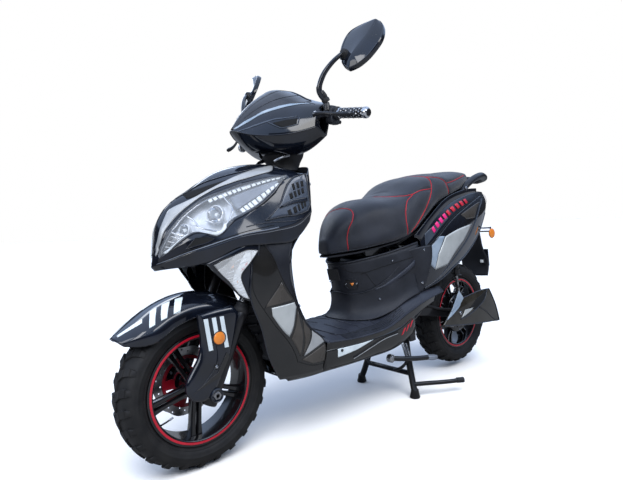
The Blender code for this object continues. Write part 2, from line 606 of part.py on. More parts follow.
# ---------------------------------------------------------------- fork and front wheel
def fender_row(angle, crown):
    """Points across the front fender at one angle round the wheel, crown to edge."""
    turn = math.radians(angle)
    if crown > 0.29:
        offsets = ((0.0, crown), (0.020, crown - 0.006), (0.034, crown - 0.014), (0.042, crown - 0.026))
    else:
        offsets = ((0.0, crown), (0.045, crown - 0.008), (0.072, crown - 0.030), (0.078, crown - 0.062))
    return [(FRONT_AXLE.x + radius * math.cos(turn), y, FRONT_AXLE.z + radius * math.sin(turn))
            for y, radius in offsets]


def build_fork():
    slide = pivot("fork", fork_point(0.12))
    axle_line = (FRONT_AXLE - Y_AXIS * 0.2, FRONT_AXLE + Y_AXIS * 0.2)
    for side, word in ((1, "left"), (-1, "right")):
        line = side * FORK_HALF
        leg = rod("fork_leg_" + word, fork_point(-0.030, side=line), fork_point(0.245, side=line), 0.0230, 20)
        bore = rod("bore", fork_point(0.060, side=line), fork_point(0.300, side=line), 0.0170, 20)
        hole = rod("hole", *axle_line, AXLE_RADIUS + 0.0004, 16)
        finish(cut(leg, [bore, hole]), "frame_black", slide)
    reach = Y_AXIS * 0.138
    finish(rod("front_axle", FRONT_AXLE - reach, FRONT_AXLE + reach, AXLE_RADIUS, 16), "steel", slide)
    rows = [fender_row(angle, crown) for angle, crown in
            ((37.4, 0.298), (50, 0.283), (65, 0.280), (82, 0.281), (100, 0.281), (122, 0.281))]
    finish(panel("front_fender", rows, 0.003, mirrored=True, inward=False), "gloss_black", slide)
    throat = [(-0.030, -0.016), (0.030, -0.016), (0.030, -0.003), (-0.022, -0.003), (-0.022, 0.004),
              (0.030, 0.004), (0.030, 0.016), (-0.030, 0.016)]
    place = Matrix.Translation(FRONT_AXLE + Vector((-0.098, -0.0625, 0.022)))
    turn = Matrix.Rotation(math.radians(-13), 4, "Y")
    caliper = plate("front_caliper", throat, 0.056, place @ turn)
    finish(caliper, "red", slide)


def tyre_profile():
    """Closed tyre section, down its outer side from the left bead to the right one."""
    bead = RIM_HALF_WIDTH - 0.007
    half = [(SEAT_RADIUS + GAP, bead), (RIM_RADIUS + 0.001, bead), (RIM_RADIUS + 0.003, bead + 0.009),
            (0.186, TYRE_HALF_WIDTH - 0.002),
            (0.203, TYRE_HALF_WIDTH), (0.222, 0.054), (0.2325, 0.038), (TYRE_RADIUS, 0.014)]
    outer = half + [(radius, -y) for radius, y in reversed(half)]
    lining = [(SEAT_RADIUS + GAP, bead - 0.009), (0.180, 0.046), (0.205, 0.046), (0.2245, 0.026)]
    inner = [(radius, -y) for radius, y in lining] + [(radius, y) for radius, y in reversed(lining)]
    return outer + inner


def build_wheel(prefix, centre, hub_radius, hub_half, bore, spokes, first_spoke, spoke_width, parent):
    tyre = turned(prefix + "_tyre", tyre_profile(), centre, Y_AXIS, 36, closed=True)
    finish(tyre, "rubber", parent)
    wall = 0.006
    half = RIM_HALF_WIDTH
    barrel = [(RIM_RADIUS, half), (RIM_RADIUS, half - wall), (SEAT_RADIUS, half - wall),
              (SEAT_RADIUS, wall - half), (RIM_RADIUS, wall - half), (RIM_RADIUS, -half),
              (SEAT_RADIUS - wall, -half), (SEAT_RADIUS - wall, half)]
    name = "front_rim" if prefix == "front" else "hub_motor"
    rim = turned(name, barrel, centre, Y_AXIS, 36, closed=True)
    hub = [(hub_radius, hub_half), (hub_radius, -hub_half), (bore, -hub_half), (bore, hub_half)]
    pieces = [turned("hub", hub, centre, Y_AXIS, 24, closed=True)]
    reach = SEAT_RADIUS - 0.003
    for i in range(spokes):
        angle = math.radians(first_spoke) + 2 * math.pi * i / spokes
        middle = (hub_radius - 0.004 + reach) / 2
        place = centre + Vector((middle * math.cos(angle), 0.0, middle * math.sin(angle)))
        length = reach - hub_radius + 0.004
        pieces.append(baked(box("spoke", (length, spoke_width, 0.020), place, turn=(0, -angle, 0)), "spoke"))
    finish(fuse(rim, pieces), "rim_black", parent)


def build_front_wheel():
    axis = pivot("front_wheel", FRONT_AXLE)
    build_wheel("front", FRONT_AXLE, 0.032, 0.055, AXLE_RADIUS + 0.0004, 5, -14.0, 0.030, axis)
    section = [(0.108, 0.002), (0.108, -0.002), (0.034, -0.002), (0.034, 0.002)]
    disc = turned("front_disc", section, FRONT_AXLE - Y_AXIS * 0.062, Y_AXIS, 32, closed=True)
    finish(disc, "steel", axis)


# ---------------------------------------------------------------- swingarm and rear wheel
def build_rear():
    swing = pivot("swingarm", SWING_PIVOT)
    arm = rod("swingarm", SWING_PIVOT - Y_AXIS * 0.092, SWING_PIVOT + Y_AXIS * 0.092, 0.022, 20)
    lean = math.atan2(SWING_PIVOT.z - REAR_AXLE.z, SWING_PIVOT.x - REAR_AXLE.x)
    length = (SWING_PIVOT - REAR_AXLE).length
    pieces = []
    for side in (-1, 1):
        start = along(SWING_PIVOT, REAR_AXLE, 0.04)
        middle = along(start, REAR_AXLE, 0.54) + Y_AXIS * SWING_HALF * side
        beam = box("beam", (length * 1.04, 0.018, 0.040), middle, turn=(0, -lean, 0), bevel=0.004)
        pieces.append(baked(beam, "beam"))
    brace = along(SWING_PIVOT, REAR_AXLE, 0.22)
    pieces.append(rod("brace", brace - Y_AXIS * SWING_HALF, brace + Y_AXIS * SWING_HALF, 0.014))
    foot = SHOCK_FOOT
    pieces.append(rod("shock_pin", foot - Y_AXIS * 0.028, foot + Y_AXIS * 0.014, 0.006))
    pieces.append(rod("shock_lug", foot - Y_AXIS * 0.028, foot - Y_AXIS * 0.0125, 0.016))
    pieces.append(box("post", (0.024, 0.014, 0.050), foot + Vector((0.0, -0.023, -0.024))))
    arm = fuse(arm, pieces)
    pin = rod("pin", SWING_PIVOT - Y_AXIS * 0.2, SWING_PIVOT + Y_AXIS * 0.2, 0.0126, 20)
    hole = rod("hole", REAR_AXLE - Y_AXIS * 0.2, REAR_AXLE + Y_AXIS * 0.2, AXLE_RADIUS + 0.0004, 16)
    finish(cut(arm, [pin, hole]), "frame_black", swing)
    reach = Y_AXIS * 0.112
    finish(rod("motor_axle", REAR_AXLE - reach, REAR_AXLE + reach, AXLE_RADIUS, 16), "steel", swing)
    rows = [
        [(-0.385, 0.118, 0.240), (-0.540, 0.118, 0.222), (-0.690, 0.125, 0.212), (-0.812, 0.150, 0.205)],
        [(-0.372, 0.145, 0.252), (-0.540, 0.158, 0.232), (-0.690, 0.164, 0.220), (-0.810, 0.164, 0.212)],
        [(-0.425, 0.146, 0.300), (-0.560, 0.160, 0.300), (-0.680, 0.166, 0.300), (-0.778, 0.164, 0.290)],
        [(-0.480, 0.144, 0.345), (-0.560, 0.152, 0.360), (-0.650, 0.156, 0.372), (-0.735, 0.156, 0.372)],
    ]
    finish(panel("swingarm_cover", rows, 0.003), "gloss_black", swing)
    wheel = pivot("rear_wheel", REAR_AXLE)
    build_wheel("rear", REAR_AXLE, 0.092, 0.060, AXLE_RADIUS + 0.0004, 7, 180.0 / 7, 0.030, wheel)


def build_shock():
    """Left-hand shock: its lower eye is the open pivot, so it clears the swingarm's pin."""
    line = SHOCK_FOOT - SHOCK_TOP
    reach = line.length
    line.normalize()

    def at(distance):
        return SHOCK_TOP + line * distance

    top = pivot("shock_body", SHOCK_TOP)
    eye = ring("shock_body", SHOCK_TOP - Y_AXIS * 0.0105, SHOCK_TOP + Y_AXIS * 0.0105, 0.0065, 0.0125, 16)
    case = rod("case", at(0.0105), at(0.150), 0.0150, 16)
    body = fuse(eye, [case, rod("seat", at(0.020), at(0.026), 0.0245, 16)])
    hole = rod("hole", SHOCK_TOP - Y_AXIS * 0.05, SHOCK_TOP + Y_AXIS * 0.05, 0.0065, 16)
    bore = rod("bore", at(0.060), at(0.200), 0.0064, 16)
    finish(cut(body, [hole, bore]), "frame_black", top)
    slide = pivot("shock_rod", at(0.16))
    eye = ring("shock_rod", SHOCK_FOOT - Y_AXIS * 0.0105, SHOCK_FOOT + Y_AXIS * 0.0105, 0.0095, 0.0155, 16)
    shaft = fuse(eye, [rod("shaft", at(0.100), at(reach - 0.010), 0.0060, 16),
                       rod("seat", at(reach - 0.030), at(reach - 0.024), 0.0245, 16)])
    hole = rod("hole", SHOCK_FOOT - Y_AXIS * 0.05, SHOCK_FOOT + Y_AXIS * 0.05, 0.0095, 16)
    finish(cut(shaft, [hole]), "steel", slide)
    turns = 8
    steps = 10
    wire = 0.0028
    first = 0.026 + wire + GAP
    last = reach - 0.030 - wire - GAP
    side = line.cross(Y_AXIS).normalized()
    points = []
    for i in range(turns * steps + 1):
        angle = 2 * math.pi * i / steps
        spot = at(first + (last - first) * i / (turns * steps))
        points.append(spot + (side * math.cos(angle) + Y_AXIS * math.sin(angle)) * 0.0205)
    finish(tube("shock_spring", points, wire, 1), "red", top)


# ---------------------------------------------------------------- stands
def build_stands():
    swing = pivot("centre_stand", STAND_PIVOT)
    reach = Y_AXIS * 0.104
    stand = rod("centre_stand", STAND_PIVOT - reach, STAND_PIVOT + reach, 0.0150, 16)
    pieces = []
    for side in (-1, 1):
        top = STAND_PIVOT + Y_AXIS * 0.090 * side + Vector((0.002, 0, -0.011))
        foot = Vector((STAND_FOOT.x, STAND_FOOT.y * side, 0.020))
        pieces.append(rod("leg", top, foot, 0.0120))
        pieces.append(rod("foot", (foot.x, foot.y, 0.0), (foot.x, foot.y, 0.032), 0.0200, 16))
    share = 0.62
    cross = along(STAND_PIVOT + Y_AXIS * 0.090, STAND_FOOT, share)
    pieces.append(rod("cross", across(cross), cross, 0.0100))
    tang = [(-0.164, 0.140, 0.052), (-0.215, 0.168, 0.050), (-0.270, 0.200, 0.048), (-0.342, 0.235, 0.046)]
    pieces.append(tube("tang", tang, 0.0085))
    bore = rod("bore", STAND_PIVOT - Y_AXIS * 0.2, STAND_PIVOT + Y_AXIS * 0.2, 0.0090, 16)
    finish(cut(fuse(stand, pieces), [bore]), "frame_black", swing)
    hinge = pivot("side_stand", SIDE_STAND_PIVOT)
    leg = tube("side_stand", [SIDE_STAND_PIVOT, (-0.140, 0.168, 0.166), (-0.212, 0.176, 0.156)], 0.0090)
    shoe = box("shoe", (0.052, 0.026, 0.016), (-0.232, 0.178, 0.153), turn=(0, math.radians(-8), 0),
               bevel=0.004)
    boss = rod("boss", SIDE_STAND_PIVOT - Y_AXIS * 0.010, SIDE_STAND_PIVOT + Y_AXIS * 0.010, 0.015, 16)
    finish(fuse(leg, [baked(shoe, "shoe"), boss]), "frame_black", hinge)


clear_scene()
PARTS = new_collection("moped_scooter")
GUIDES = new_collection("joint_axes")
PAINT = {name: make_material(name) for name in MATERIALS}
build_frame()
build_front()
build_leg_shields()
build_inner_shields()
build_floor()
build_seat_tower()
build_tail()
build_small_fittings()
build_seat()
build_controls(build_steering())
build_mirrors()
build_fork()
build_front_wheel()
build_rear()
build_shock()
build_stands()
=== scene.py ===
import math
import random

import bmesh
import bpy
from mathutils import Matrix, Vector


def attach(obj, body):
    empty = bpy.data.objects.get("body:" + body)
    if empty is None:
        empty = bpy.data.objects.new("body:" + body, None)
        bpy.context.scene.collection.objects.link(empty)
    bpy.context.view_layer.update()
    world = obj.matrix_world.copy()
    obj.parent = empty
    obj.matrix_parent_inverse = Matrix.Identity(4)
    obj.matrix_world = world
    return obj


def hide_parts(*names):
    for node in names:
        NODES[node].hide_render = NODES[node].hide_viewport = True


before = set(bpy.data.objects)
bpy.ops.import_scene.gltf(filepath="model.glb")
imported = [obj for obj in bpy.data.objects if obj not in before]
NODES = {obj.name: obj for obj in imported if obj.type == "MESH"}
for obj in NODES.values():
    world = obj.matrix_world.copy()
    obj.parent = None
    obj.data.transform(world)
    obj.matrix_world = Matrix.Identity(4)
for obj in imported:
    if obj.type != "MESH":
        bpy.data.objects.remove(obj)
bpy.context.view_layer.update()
X_AXIS = Vector((1.0, 0.0, 0.0))
Y_AXIS = Vector((0.0, 1.0, 0.0))
Z_AXIS = Vector((0.0, 0.0, 1.0))
SIDES = ((1, "left"), (-1, "right"))
FLIPS = ((False, "left"), (True, "right"))
PHOTO_WIDTH = 623.0

# ---------------------------------------------------------------- dimensions shared with the CAD
TYRE_RADIUS = 0.2365
FRONT_AXLE = Vector((0.705, 0.0, TYRE_RADIUS))
REAR_AXLE = Vector((-0.645, 0.0, 0.258))
RAKE = math.radians(26.0)
FORK_HALF = 0.105
UP_FORK = Vector((-math.sin(RAKE), 0.0, math.cos(RAKE)))
AHEAD_FORK = Vector((math.cos(RAKE), 0.0, math.sin(RAKE)))
BAR_IN = Vector((0.3, 0.2, 1.058))
BAR_OUT = Vector((0.2765, 0.357, 1.031))
MIRROR_BALL = Vector((0.291, 0.274, 1.231))
MIRROR_CENTRE = Vector((0.25, 0.318, 1.245))


# ---------------------------------------------------------------- materials
def shader_of(name):
    made = bpy.data.materials.new(name)
    made.use_nodes = True
    return (made, made.node_tree.nodes, made.node_tree.links, made.node_tree.nodes["Principled BSDF"])


def paint(name, dark, light, roughness, metallic=0.0, coat=0.0, mottle=14.0, grain=0.0, grain_scale=900.0,
        grain_kind="noise", spread=0.06, **sockets):
    """A surface whose colour wanders between two shades, with a fine grain in its relief."""
    made, nodes, links, shader = shader_of(name)
    place = nodes.new("ShaderNodeTexCoord")
    cloud = nodes.new("ShaderNodeTexNoise")
    cloud.inputs["Scale"].default_value = mottle
    cloud.inputs["Detail"].default_value = 5.0
    links.new(place.outputs["Object"], cloud.inputs["Vector"])
    shades = nodes.new("ShaderNodeValToRGB")
    shades.color_ramp.elements[0].position = 0.35
    shades.color_ramp.elements[1].position = 0.65
    shades.color_ramp.elements[0].color = (*dark, 1.0)
    shades.color_ramp.elements[1].color = (*light, 1.0)
    links.new(cloud.outputs["Fac"], shades.inputs["Fac"])
    links.new(shades.outputs["Color"], shader.inputs["Base Color"])
    wear = nodes.new("ShaderNodeMapRange")
    wear.inputs["To Min"].default_value = max(roughness - spread, 0.02)
    wear.inputs["To Max"].default_value = min(roughness + spread, 1.0)
    links.new(cloud.outputs["Fac"], wear.inputs["Value"])
    links.new(wear.outputs["Result"], shader.inputs["Roughness"])
    shader.inputs["Metallic"].default_value = metallic
    shader.inputs["Coat Weight"].default_value = coat
    shader.inputs["Coat Roughness"].default_value = 0.04
    for socket, value in sockets.items():
        shader.inputs[socket.replace("_", " ")].default_value = value
    if grain:
        if grain_kind == "leather":
            relief = nodes.new("ShaderNodeTexVoronoi")
            relief.feature = "DISTANCE_TO_EDGE"
            height = relief.outputs["Distance"]
        else:
            relief = nodes.new("ShaderNodeTexNoise")
            relief.inputs["Detail"].default_value = 3.0
            height = relief.outputs["Fac"]
        relief.inputs["Scale"].default_value = grain_scale
        links.new(place.outputs["Object"], relief.inputs["Vector"])
        bump = nodes.new("ShaderNodeBump")
        bump.inputs["Strength"].default_value = grain
        bump.inputs["Distance"].default_value = 0.0006
        links.new(height, bump.inputs["Height"])
        links.new(bump.outputs["Normal"], shader.inputs["Normal"])
    return made


def carbon(name):
    """Woven carbon print: a fine two-tone check under a clear coat."""
    made, nodes, links, shader = shader_of(name)
    place = nodes.new("ShaderNodeTexCoord")
    weave = nodes.new("ShaderNodeTexChecker")
    weave.inputs["Scale"].default_value = 420.0
    weave.inputs["Color1"].default_value = (0.42, 0.44, 0.47, 1.0)
    weave.inputs["Color2"].default_value = (0.17, 0.18, 0.2, 1.0)
    links.new(place.outputs["Object"], weave.inputs["Vector"])
    links.new(weave.outputs["Color"], shader.inputs["Base Color"])
    shader.inputs["Metallic"].default_value = 0.5
    shader.inputs["Roughness"].default_value = 0.28
    shader.inputs["Coat Weight"].default_value = 0.8
    return made


def clear(name, tint, alpha, roughness=0.04):
    """A see-through cover with a little haze in it."""
    made, nodes, links, shader = shader_of(name)
    place = nodes.new("ShaderNodeTexCoord")
    haze = nodes.new("ShaderNodeTexNoise")
    haze.inputs["Scale"].default_value = 30.0
    links.new(place.outputs["Object"], haze.inputs["Vector"])
    amount = nodes.new("ShaderNodeMapRange")
    amount.inputs["To Min"].default_value = alpha * 0.8
    amount.inputs["To Max"].default_value = alpha * 1.2
    links.new(haze.outputs["Fac"], amount.inputs["Value"])
    links.new(amount.outputs["Result"], shader.inputs["Alpha"])
    shader.inputs["Base Color"].default_value = (*tint, 1.0)
    shader.inputs["Roughness"].default_value = roughness
    shader.inputs["Coat Weight"].default_value = 1.0
    shader.inputs["Specular IOR Level"].default_value = 0.9
    return made


PAINT = {
    "gloss": paint("gloss_black", (0.0032, 0.0042, 0.0075), (0.005, 0.0075, 0.015), 0.1, coat=1.0,
        spread=0.03, grain=0.02, grain_scale=260.0),
    "facet": paint("facet_black", (0.008, 0.008, 0.008), (0.013, 0.0125, 0.012), 0.16, coat=0.8,
        spread=0.04),
    "brown": paint("brown_grey", (0.05, 0.045, 0.04), (0.072, 0.065, 0.058), 0.28, metallic=0.25, coat=0.4),
    "silver": paint("silver_paint", (0.34, 0.36, 0.38), (0.44, 0.46, 0.48), 0.32, metallic=0.35, coat=0.5,
        grain=0.05, grain_scale=1600.0),
    "white": paint("ice_white", (0.55, 0.63, 0.68), (0.66, 0.74, 0.79), 0.3, coat=0.6),
    "matte": paint("matte_plastic", (0.01, 0.0115, 0.016), (0.017, 0.019, 0.026), 0.48, grain=0.35,
        grain_scale=1400.0),
    "satin": paint("satin_plastic", (0.008, 0.009, 0.013), (0.014, 0.016, 0.022), 0.32, grain=0.15,
        grain_scale=1200.0),
    # floor: the footboard's bluish plastic; on the seat tower's ridge band it is also a painted highlight
    "floor": paint("floor_plastic_and_painted_highlight", (0.016, 0.019, 0.029), (0.024, 0.028, 0.041), 0.44, grain=0.6,
        grain_scale=1100.0),
    "vinyl": paint("seat_vinyl", (0.01, 0.012, 0.018), (0.0165, 0.0195, 0.029), 0.42, grain=0.5,
        grain_scale=520.0, grain_kind="leather", Sheen_Weight=0.25, Sheen_Roughness=0.4),
    "rubber": paint("tyre_rubber", (0.006, 0.006, 0.0065), (0.013, 0.0125, 0.0125), 0.62, grain=0.4,
        grain_scale=700.0, mottle=30.0),
    "soft": paint("small_rubber", (0.01, 0.01, 0.011), (0.016, 0.016, 0.018), 0.55, grain=0.4),
    "rim": paint("rim_enamel", (0.004, 0.004, 0.005), (0.008, 0.008, 0.01), 0.18, coat=0.8),
    "frame": paint("frame_enamel", (0.006, 0.006, 0.007), (0.011, 0.011, 0.013), 0.32, metallic=0.2,
        coat=0.4, grain=0.15, grain_scale=500.0),
    "steel": paint("brushed_steel", (0.36, 0.36, 0.37), (0.55, 0.55, 0.56), 0.3, metallic=1.0, mottle=60.0),
    "zinc": paint("zinc_plate", (0.42, 0.43, 0.45), (0.62, 0.63, 0.66), 0.26, metallic=1.0, mottle=90.0),
    "chrome": paint("chrome_plate", (0.72, 0.73, 0.75), (0.82, 0.83, 0.85), 0.08, metallic=1.0,
        spread=0.03),
    "mirror": paint("reflector_plating", (0.62, 0.66, 0.72), (0.82, 0.86, 0.92), 0.18, metallic=0.4,
        spread=0.05, mottle=40.0),
    "pearl": paint("lamp_white", (0.55, 0.6, 0.64), (0.7, 0.75, 0.79), 0.2, coat=0.5),
    "red": paint("red_enamel", (0.42, 0.006, 0.022), (0.52, 0.01, 0.03), 0.32, coat=0.5),
    "piping": paint("red_piping", (0.34, 0.01, 0.018), (0.46, 0.014, 0.026), 0.55, grain=0.4),
    "amber": paint("amber_reflector", (0.62, 0.17, 0.015), (0.75, 0.24, 0.03), 0.16, coat=1.0, grain=0.9,
        grain_scale=420.0, grain_kind="leather"),
    # dark: near-black for the dark joints between parts, and painted shade in vent slots, slits, slots, scoops
    # and recesses
    "dark": paint("dark_joint_and_painted_shade", (0.003, 0.003, 0.003), (0.006, 0.006, 0.006), 0.7),
    "battery": paint("battery_case", (0.15, 0.16, 0.17), (0.21, 0.22, 0.23), 0.5, grain=0.3),
    # blue: blue-grey enamel; on the cowl's vent plate it is a painted reflection on gloss black, on the head
    # vent's rim a painted highlight
    "blue": paint("blue_grey_enamel_and_painted_reflection", (0.035, 0.045, 0.066), (0.058, 0.074, 0.104), 0.16, coat=1.0,
        metallic=0.2, spread=0.04),
    "sky": paint("light_blue_enamel", (0.2, 0.27, 0.36), (0.3, 0.37, 0.46), 0.2, coat=0.8),
    "pale": paint("pale_silver", (0.4, 0.43, 0.44), (0.5, 0.53, 0.54), 0.3, metallic=0.2, coat=0.5),
    "bronze": paint("bronze_black", (0.02, 0.018, 0.014), (0.036, 0.033, 0.026), 0.2, metallic=0.3,
        coat=0.8),
    "pink": paint("pink_enamel", (0.62, 0.012, 0.14), (0.72, 0.02, 0.2), 0.35, coat=0.4),
    # grey: grey paint; along the cowl's lip line it is a painted highlight
    "grey": paint("grey_paint_and_painted_highlight", (0.13, 0.15, 0.19), (0.2, 0.23, 0.28), 0.42, metallic=0.3),
    "carbon": carbon("carbon_print"),
    "lens": clear("clear_lens", (0.7, 0.76, 0.84), 0.09),
    "glass": clear("signal_lens", (0.84, 0.87, 0.9), 0.3, 0.08),
    "smoke": clear("smoked_lens", (0.01, 0.01, 0.012), 0.93),
}


# ---------------------------------------------------------------- geometry helpers
def settle(piece, look, body, replaces=()):
    """Give a finished piece its material, its body and the nodes it stands for."""
    piece.data.materials.clear()
    piece.data.materials.append(PAINT[look])
    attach(piece, body)
    if replaces:
        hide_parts(*replaces)
    return piece


def add_mirror(piece):
    step = piece.modifiers.new("mirror", "MIRROR")
    step.use_axis = (False, True, False)
    step.use_clip = False
    step.merge_threshold = 0.0001


def shaded(mesh, angle=32.0):
    for face in mesh.polygons:
        face.use_smooth = True
    mesh.set_sharp_from_angle(angle=math.radians(angle))


def solid(name, points, faces, look, body, mirrored=False, bevel=0.0, replaces=(), angle=32.0, tidy=True):
    """A mesh piece from points and faces, with its normals made consistent."""
    mesh = bpy.data.meshes.new(name)
    mesh.from_pydata([tuple(point) for point in points], [], faces)
    if tidy:
        shape = bmesh.new()
        shape.from_mesh(mesh)
        bmesh.ops.remove_doubles(shape, verts=shape.verts, dist=0.00005)
        bmesh.ops.recalc_face_normals(shape, faces=shape.faces)
        shape.to_mesh(mesh)
        shape.free()
    shaded(mesh, angle)
    piece = bpy.data.objects.new(name, mesh)
    bpy.context.scene.collection.objects.link(piece)
    if bevel:
        step = piece.modifiers.new("bevel", "BEVEL")
        step.width = bevel
        step.segments = 3
        step.limit_method = "ANGLE"
        step.angle_limit = math.radians(28)
        step.harden_normals = True
    if mirrored:
        add_mirror(piece)
    return settle(piece, look, body, replaces)


def smooth_line(knots, fine, sharp=()):
    """A spline through the knots, fine steps to a span; it turns sharply at the listed knots."""
    knots = [Vector(knot) for knot in knots]
    last = len(knots) - 1
    spans = [max((knots[i + 1] - knots[i]).length, 1e-6) for i in range(last)]
    slopes = [(knots[i + 1] - knots[i]) / spans[i] for i in range(last)]

    def inner(i):
        return (slopes[i - 1] * spans[i] + slopes[i] * spans[i - 1]) / (spans[i - 1] + spans[i])

    def is_end(i):
        return i in (0, last) or i in sharp

    line = []
    for i in range(last):
        begin = slopes[i] if is_end(i) else inner(i)
        end = slopes[i] if is_end(i + 1) else inner(i + 1)
        if is_end(i) and (not is_end(i + 1)):
            begin = slopes[i] * 1.5 - end * 0.5
        if is_end(i + 1) and (not is_end(i)):
            end = slopes[i] * 1.5 - begin * 0.5
        for k in range(fine):
            t = k / fine
            line.append(knots[i] * (2 * t ** 3 - 3 * t ** 2 + 1) + knots[i + 1] * (3 * t ** 2 - 2 * t ** 3)
                + begin * spans[i] * (t ** 3 - 2 * t ** 2 + t) + end * spans[i] * (t ** 3 - t ** 2))
    line.append(knots[last])
    return line


def mm(table):
    """The same table, nested as it is, with its millimetres turned into metres."""
    if isinstance(table, (list, tuple)):
        return type(table)((mm(entry) for entry in table))
    return round(table / 1000, 7)


def across(point):
    return Vector((point[0], -point[1], point[2]))


def both_columns(rows):
    """Rows that start at the centre line, extended to the right-hand side."""
    return [[across(point) for point in reversed(row)] + [Vector(p) for p in row[1:]] for row in rows]


def both_rows(rows):
    """A grid whose first row is the centre line, extended to the right-hand side."""
    return [[across(point) for point in row] for row in reversed(rows)] + [list(row) for row in rows[1:]]


def ramp(stations, place):
    """Values between stations (place, value, value...), straight from one to the next."""
    for before, after in zip(stations, stations[1:]):
        if place <= after[0]:
            break
    span = max(after[0] - before[0], 1e-9)
    share = min(max((place - before[0]) / span, 0.0), 1.0)
    return [a + (b - a) * share for a, b in zip(before[1:], after[1:])]


class Surface:
    """A smooth sheet through a grid of points: u counts rows, v counts columns."""

    def __init__(self, rows, inside, fine=6, sharp_rows=(), sharp_columns=(), body="chassis",
            mirrored=False):
        self.fine = fine
        self.body = body
        self.mirrored = mirrored
        self.rows = len(rows) - 1
        self.columns = len(rows[0]) - 1
        lines = [smooth_line(row, fine, sharp_columns) for row in rows]
        columns = [smooth_line(column, fine, sharp_rows) for column in zip(*lines)]
        self.points = [list(line) for line in zip(*columns)]
        self.side = 1.0
        middle = (self.rows / 2 + 0.1, self.columns / 2 + 0.1)
        if self.normal(*middle).dot(self.at(*middle) - Vector(inside)) < 0:
            self.side = -1.0

    def at(self, u, v, lift=0.0):
        a = min(max(u, 0.0), self.rows) * self.fine
        b = min(max(v, 0.0), self.columns) * self.fine
        i = min(int(a), self.rows * self.fine - 1)
        j = min(int(b), self.columns * self.fine - 1)
        a -= i
        b -= j
        near = self.points[i][j].lerp(self.points[i][j + 1], b)
        far = self.points[i + 1][j].lerp(self.points[i + 1][j + 1], b)
        spot = near.lerp(far, a)
        return spot + self.normal(u, v) * lift if lift else spot

    def normal(self, u, v):
        step = 0.06
        low_u = min(max(u - step, 0.0), self.rows - 2 * step)
        low_v = min(max(v - step, 0.0), self.columns - 2 * step)
        along_u = self.at(low_u + 2 * step, v) - self.at(low_u, v)
        along_v = self.at(u, low_v + 2 * step) - self.at(u, low_v)
        return along_u.cross(along_v).normalized() * self.side

    def doubled(self, mirrored):
        """Whether a piece on this sheet is mirrored: as the call says, or else as the sheet says."""
        return self.mirrored if mirrored is None else mirrored

    def skin(self, name, look, thickness=0.003, hole=None, mirrored=None, replaces=(), lift=0.0):
        """The whole sheet as a shell that thickens inwards; hole(u, v) leaves a part out."""
        high = self.rows * self.fine
        wide = self.columns * self.fine
        points = [point for line in self.points for point in line]
        if lift:
            points = [self.at(i / self.fine, j / self.fine, lift) for i in range(high + 1)
                for j in range(wide + 1)]
        faces = []
        for i in range(high):
            for j in range(wide):
                if hole and hole((i + 0.5) / self.fine, (j + 0.5) / self.fine):
                    continue
                corner = i * (wide + 1) + j
                face = (corner, corner + wide + 1, corner + wide + 2, corner + 1)
                faces.append(face if self.side > 0 else face[::-1])
        piece = sheet_piece(name, points, faces, thickness, -1.0, self.doubled(mirrored))
        return settle(piece, look, self.body, replaces)

    def band(self, name, stations, look, lift=0.0004, thickness=0.0012, mirrored=None, cross=4, crown=0.0):
        """A raised strip along v whose edges in u are given at stations (v, u_low, u_high)."""
        first = stations[0][0]
        length = stations[-1][0] - first
        count = max(int(abs(length) * 8), 4)
        points = []
        for i in range(count + 1):
            v = first + length * i / count
            low, high = ramp(stations, v)
            for j in range(cross + 1):
                u = low + (high - low) * j / cross
                rise = lift + crown * math.sin(math.pi * j / cross)
                points.append(self.at(u, v, rise))
        faces = []
        for i in range(count):
            for j in range(cross):
                corner = i * (cross + 1) + j
                faces.append((corner, corner + 1, corner + cross + 2, corner + cross + 1))
        if self.side < 0:
            faces = [face[::-1] for face in faces]
        piece = sheet_piece(name, points, faces, thickness, 0.0, self.doubled(mirrored))
        return settle(piece, look, self.body)

    def patch(self, name, corners, look, lift=0.0004, thickness=0.0012, mirrored=None, rings=7, fine=7):
        """A raised patch over the sheet, bounded by straight runs between (u, v) corners."""
        outline = []
        for i, (u, v) in enumerate(corners):
            after = corners[(i + 1) % len(corners)]
            for k in range(fine):
                share = k / fine
                outline.append((u + (after[0] - u) * share, v + (after[1] - v) * share))
        middle = (sum((u for u, _ in outline)) / len(outline), sum((v for _, v in outline)) / len(outline))
        size = len(outline)
        points = [self.at(*middle, lift)]
        for ring in range(1, rings + 1):
            share = ring / rings
            for u, v in outline:
                points.append(self.at(middle[0] + (u - middle[0]) * share, middle[1] + (v - middle[1])
                    * share, lift))
        faces = []
        for j in range(size):
            after = (j + 1) % size
            faces.append((0, 1 + j, 1 + after))
            for ring in range(rings - 1):
                start = 1 + ring * size
                faces.append((start + j, start + size + j, start + size + after, start + after))
        turn = sum((a[0] * b[1] - b[0] * a[1] for a, b in zip(outline, outline[1:] + outline[:1])))
        if turn * self.side < 0:
            faces = [face[::-1] for face in faces]
        piece = sheet_piece(name, points, faces, thickness, 0.0, self.doubled(mirrored))
        return settle(piece, look, self.body)

    def seam(self, name, route, radius, look, lift=0.0, mirrored=None, smooth=True):
        """A thin bead or gap line that follows (u, v) places over the sheet."""
        flat = [Vector((u, v, 0.0)) for u, v in route]
        line = smooth_line(flat, 6, () if smooth else range(len(flat)))
        points = [self.at(spot.x, spot.y, lift) for spot in line]
        return cable(name, points, radius, look, self.body, self.doubled(mirrored))


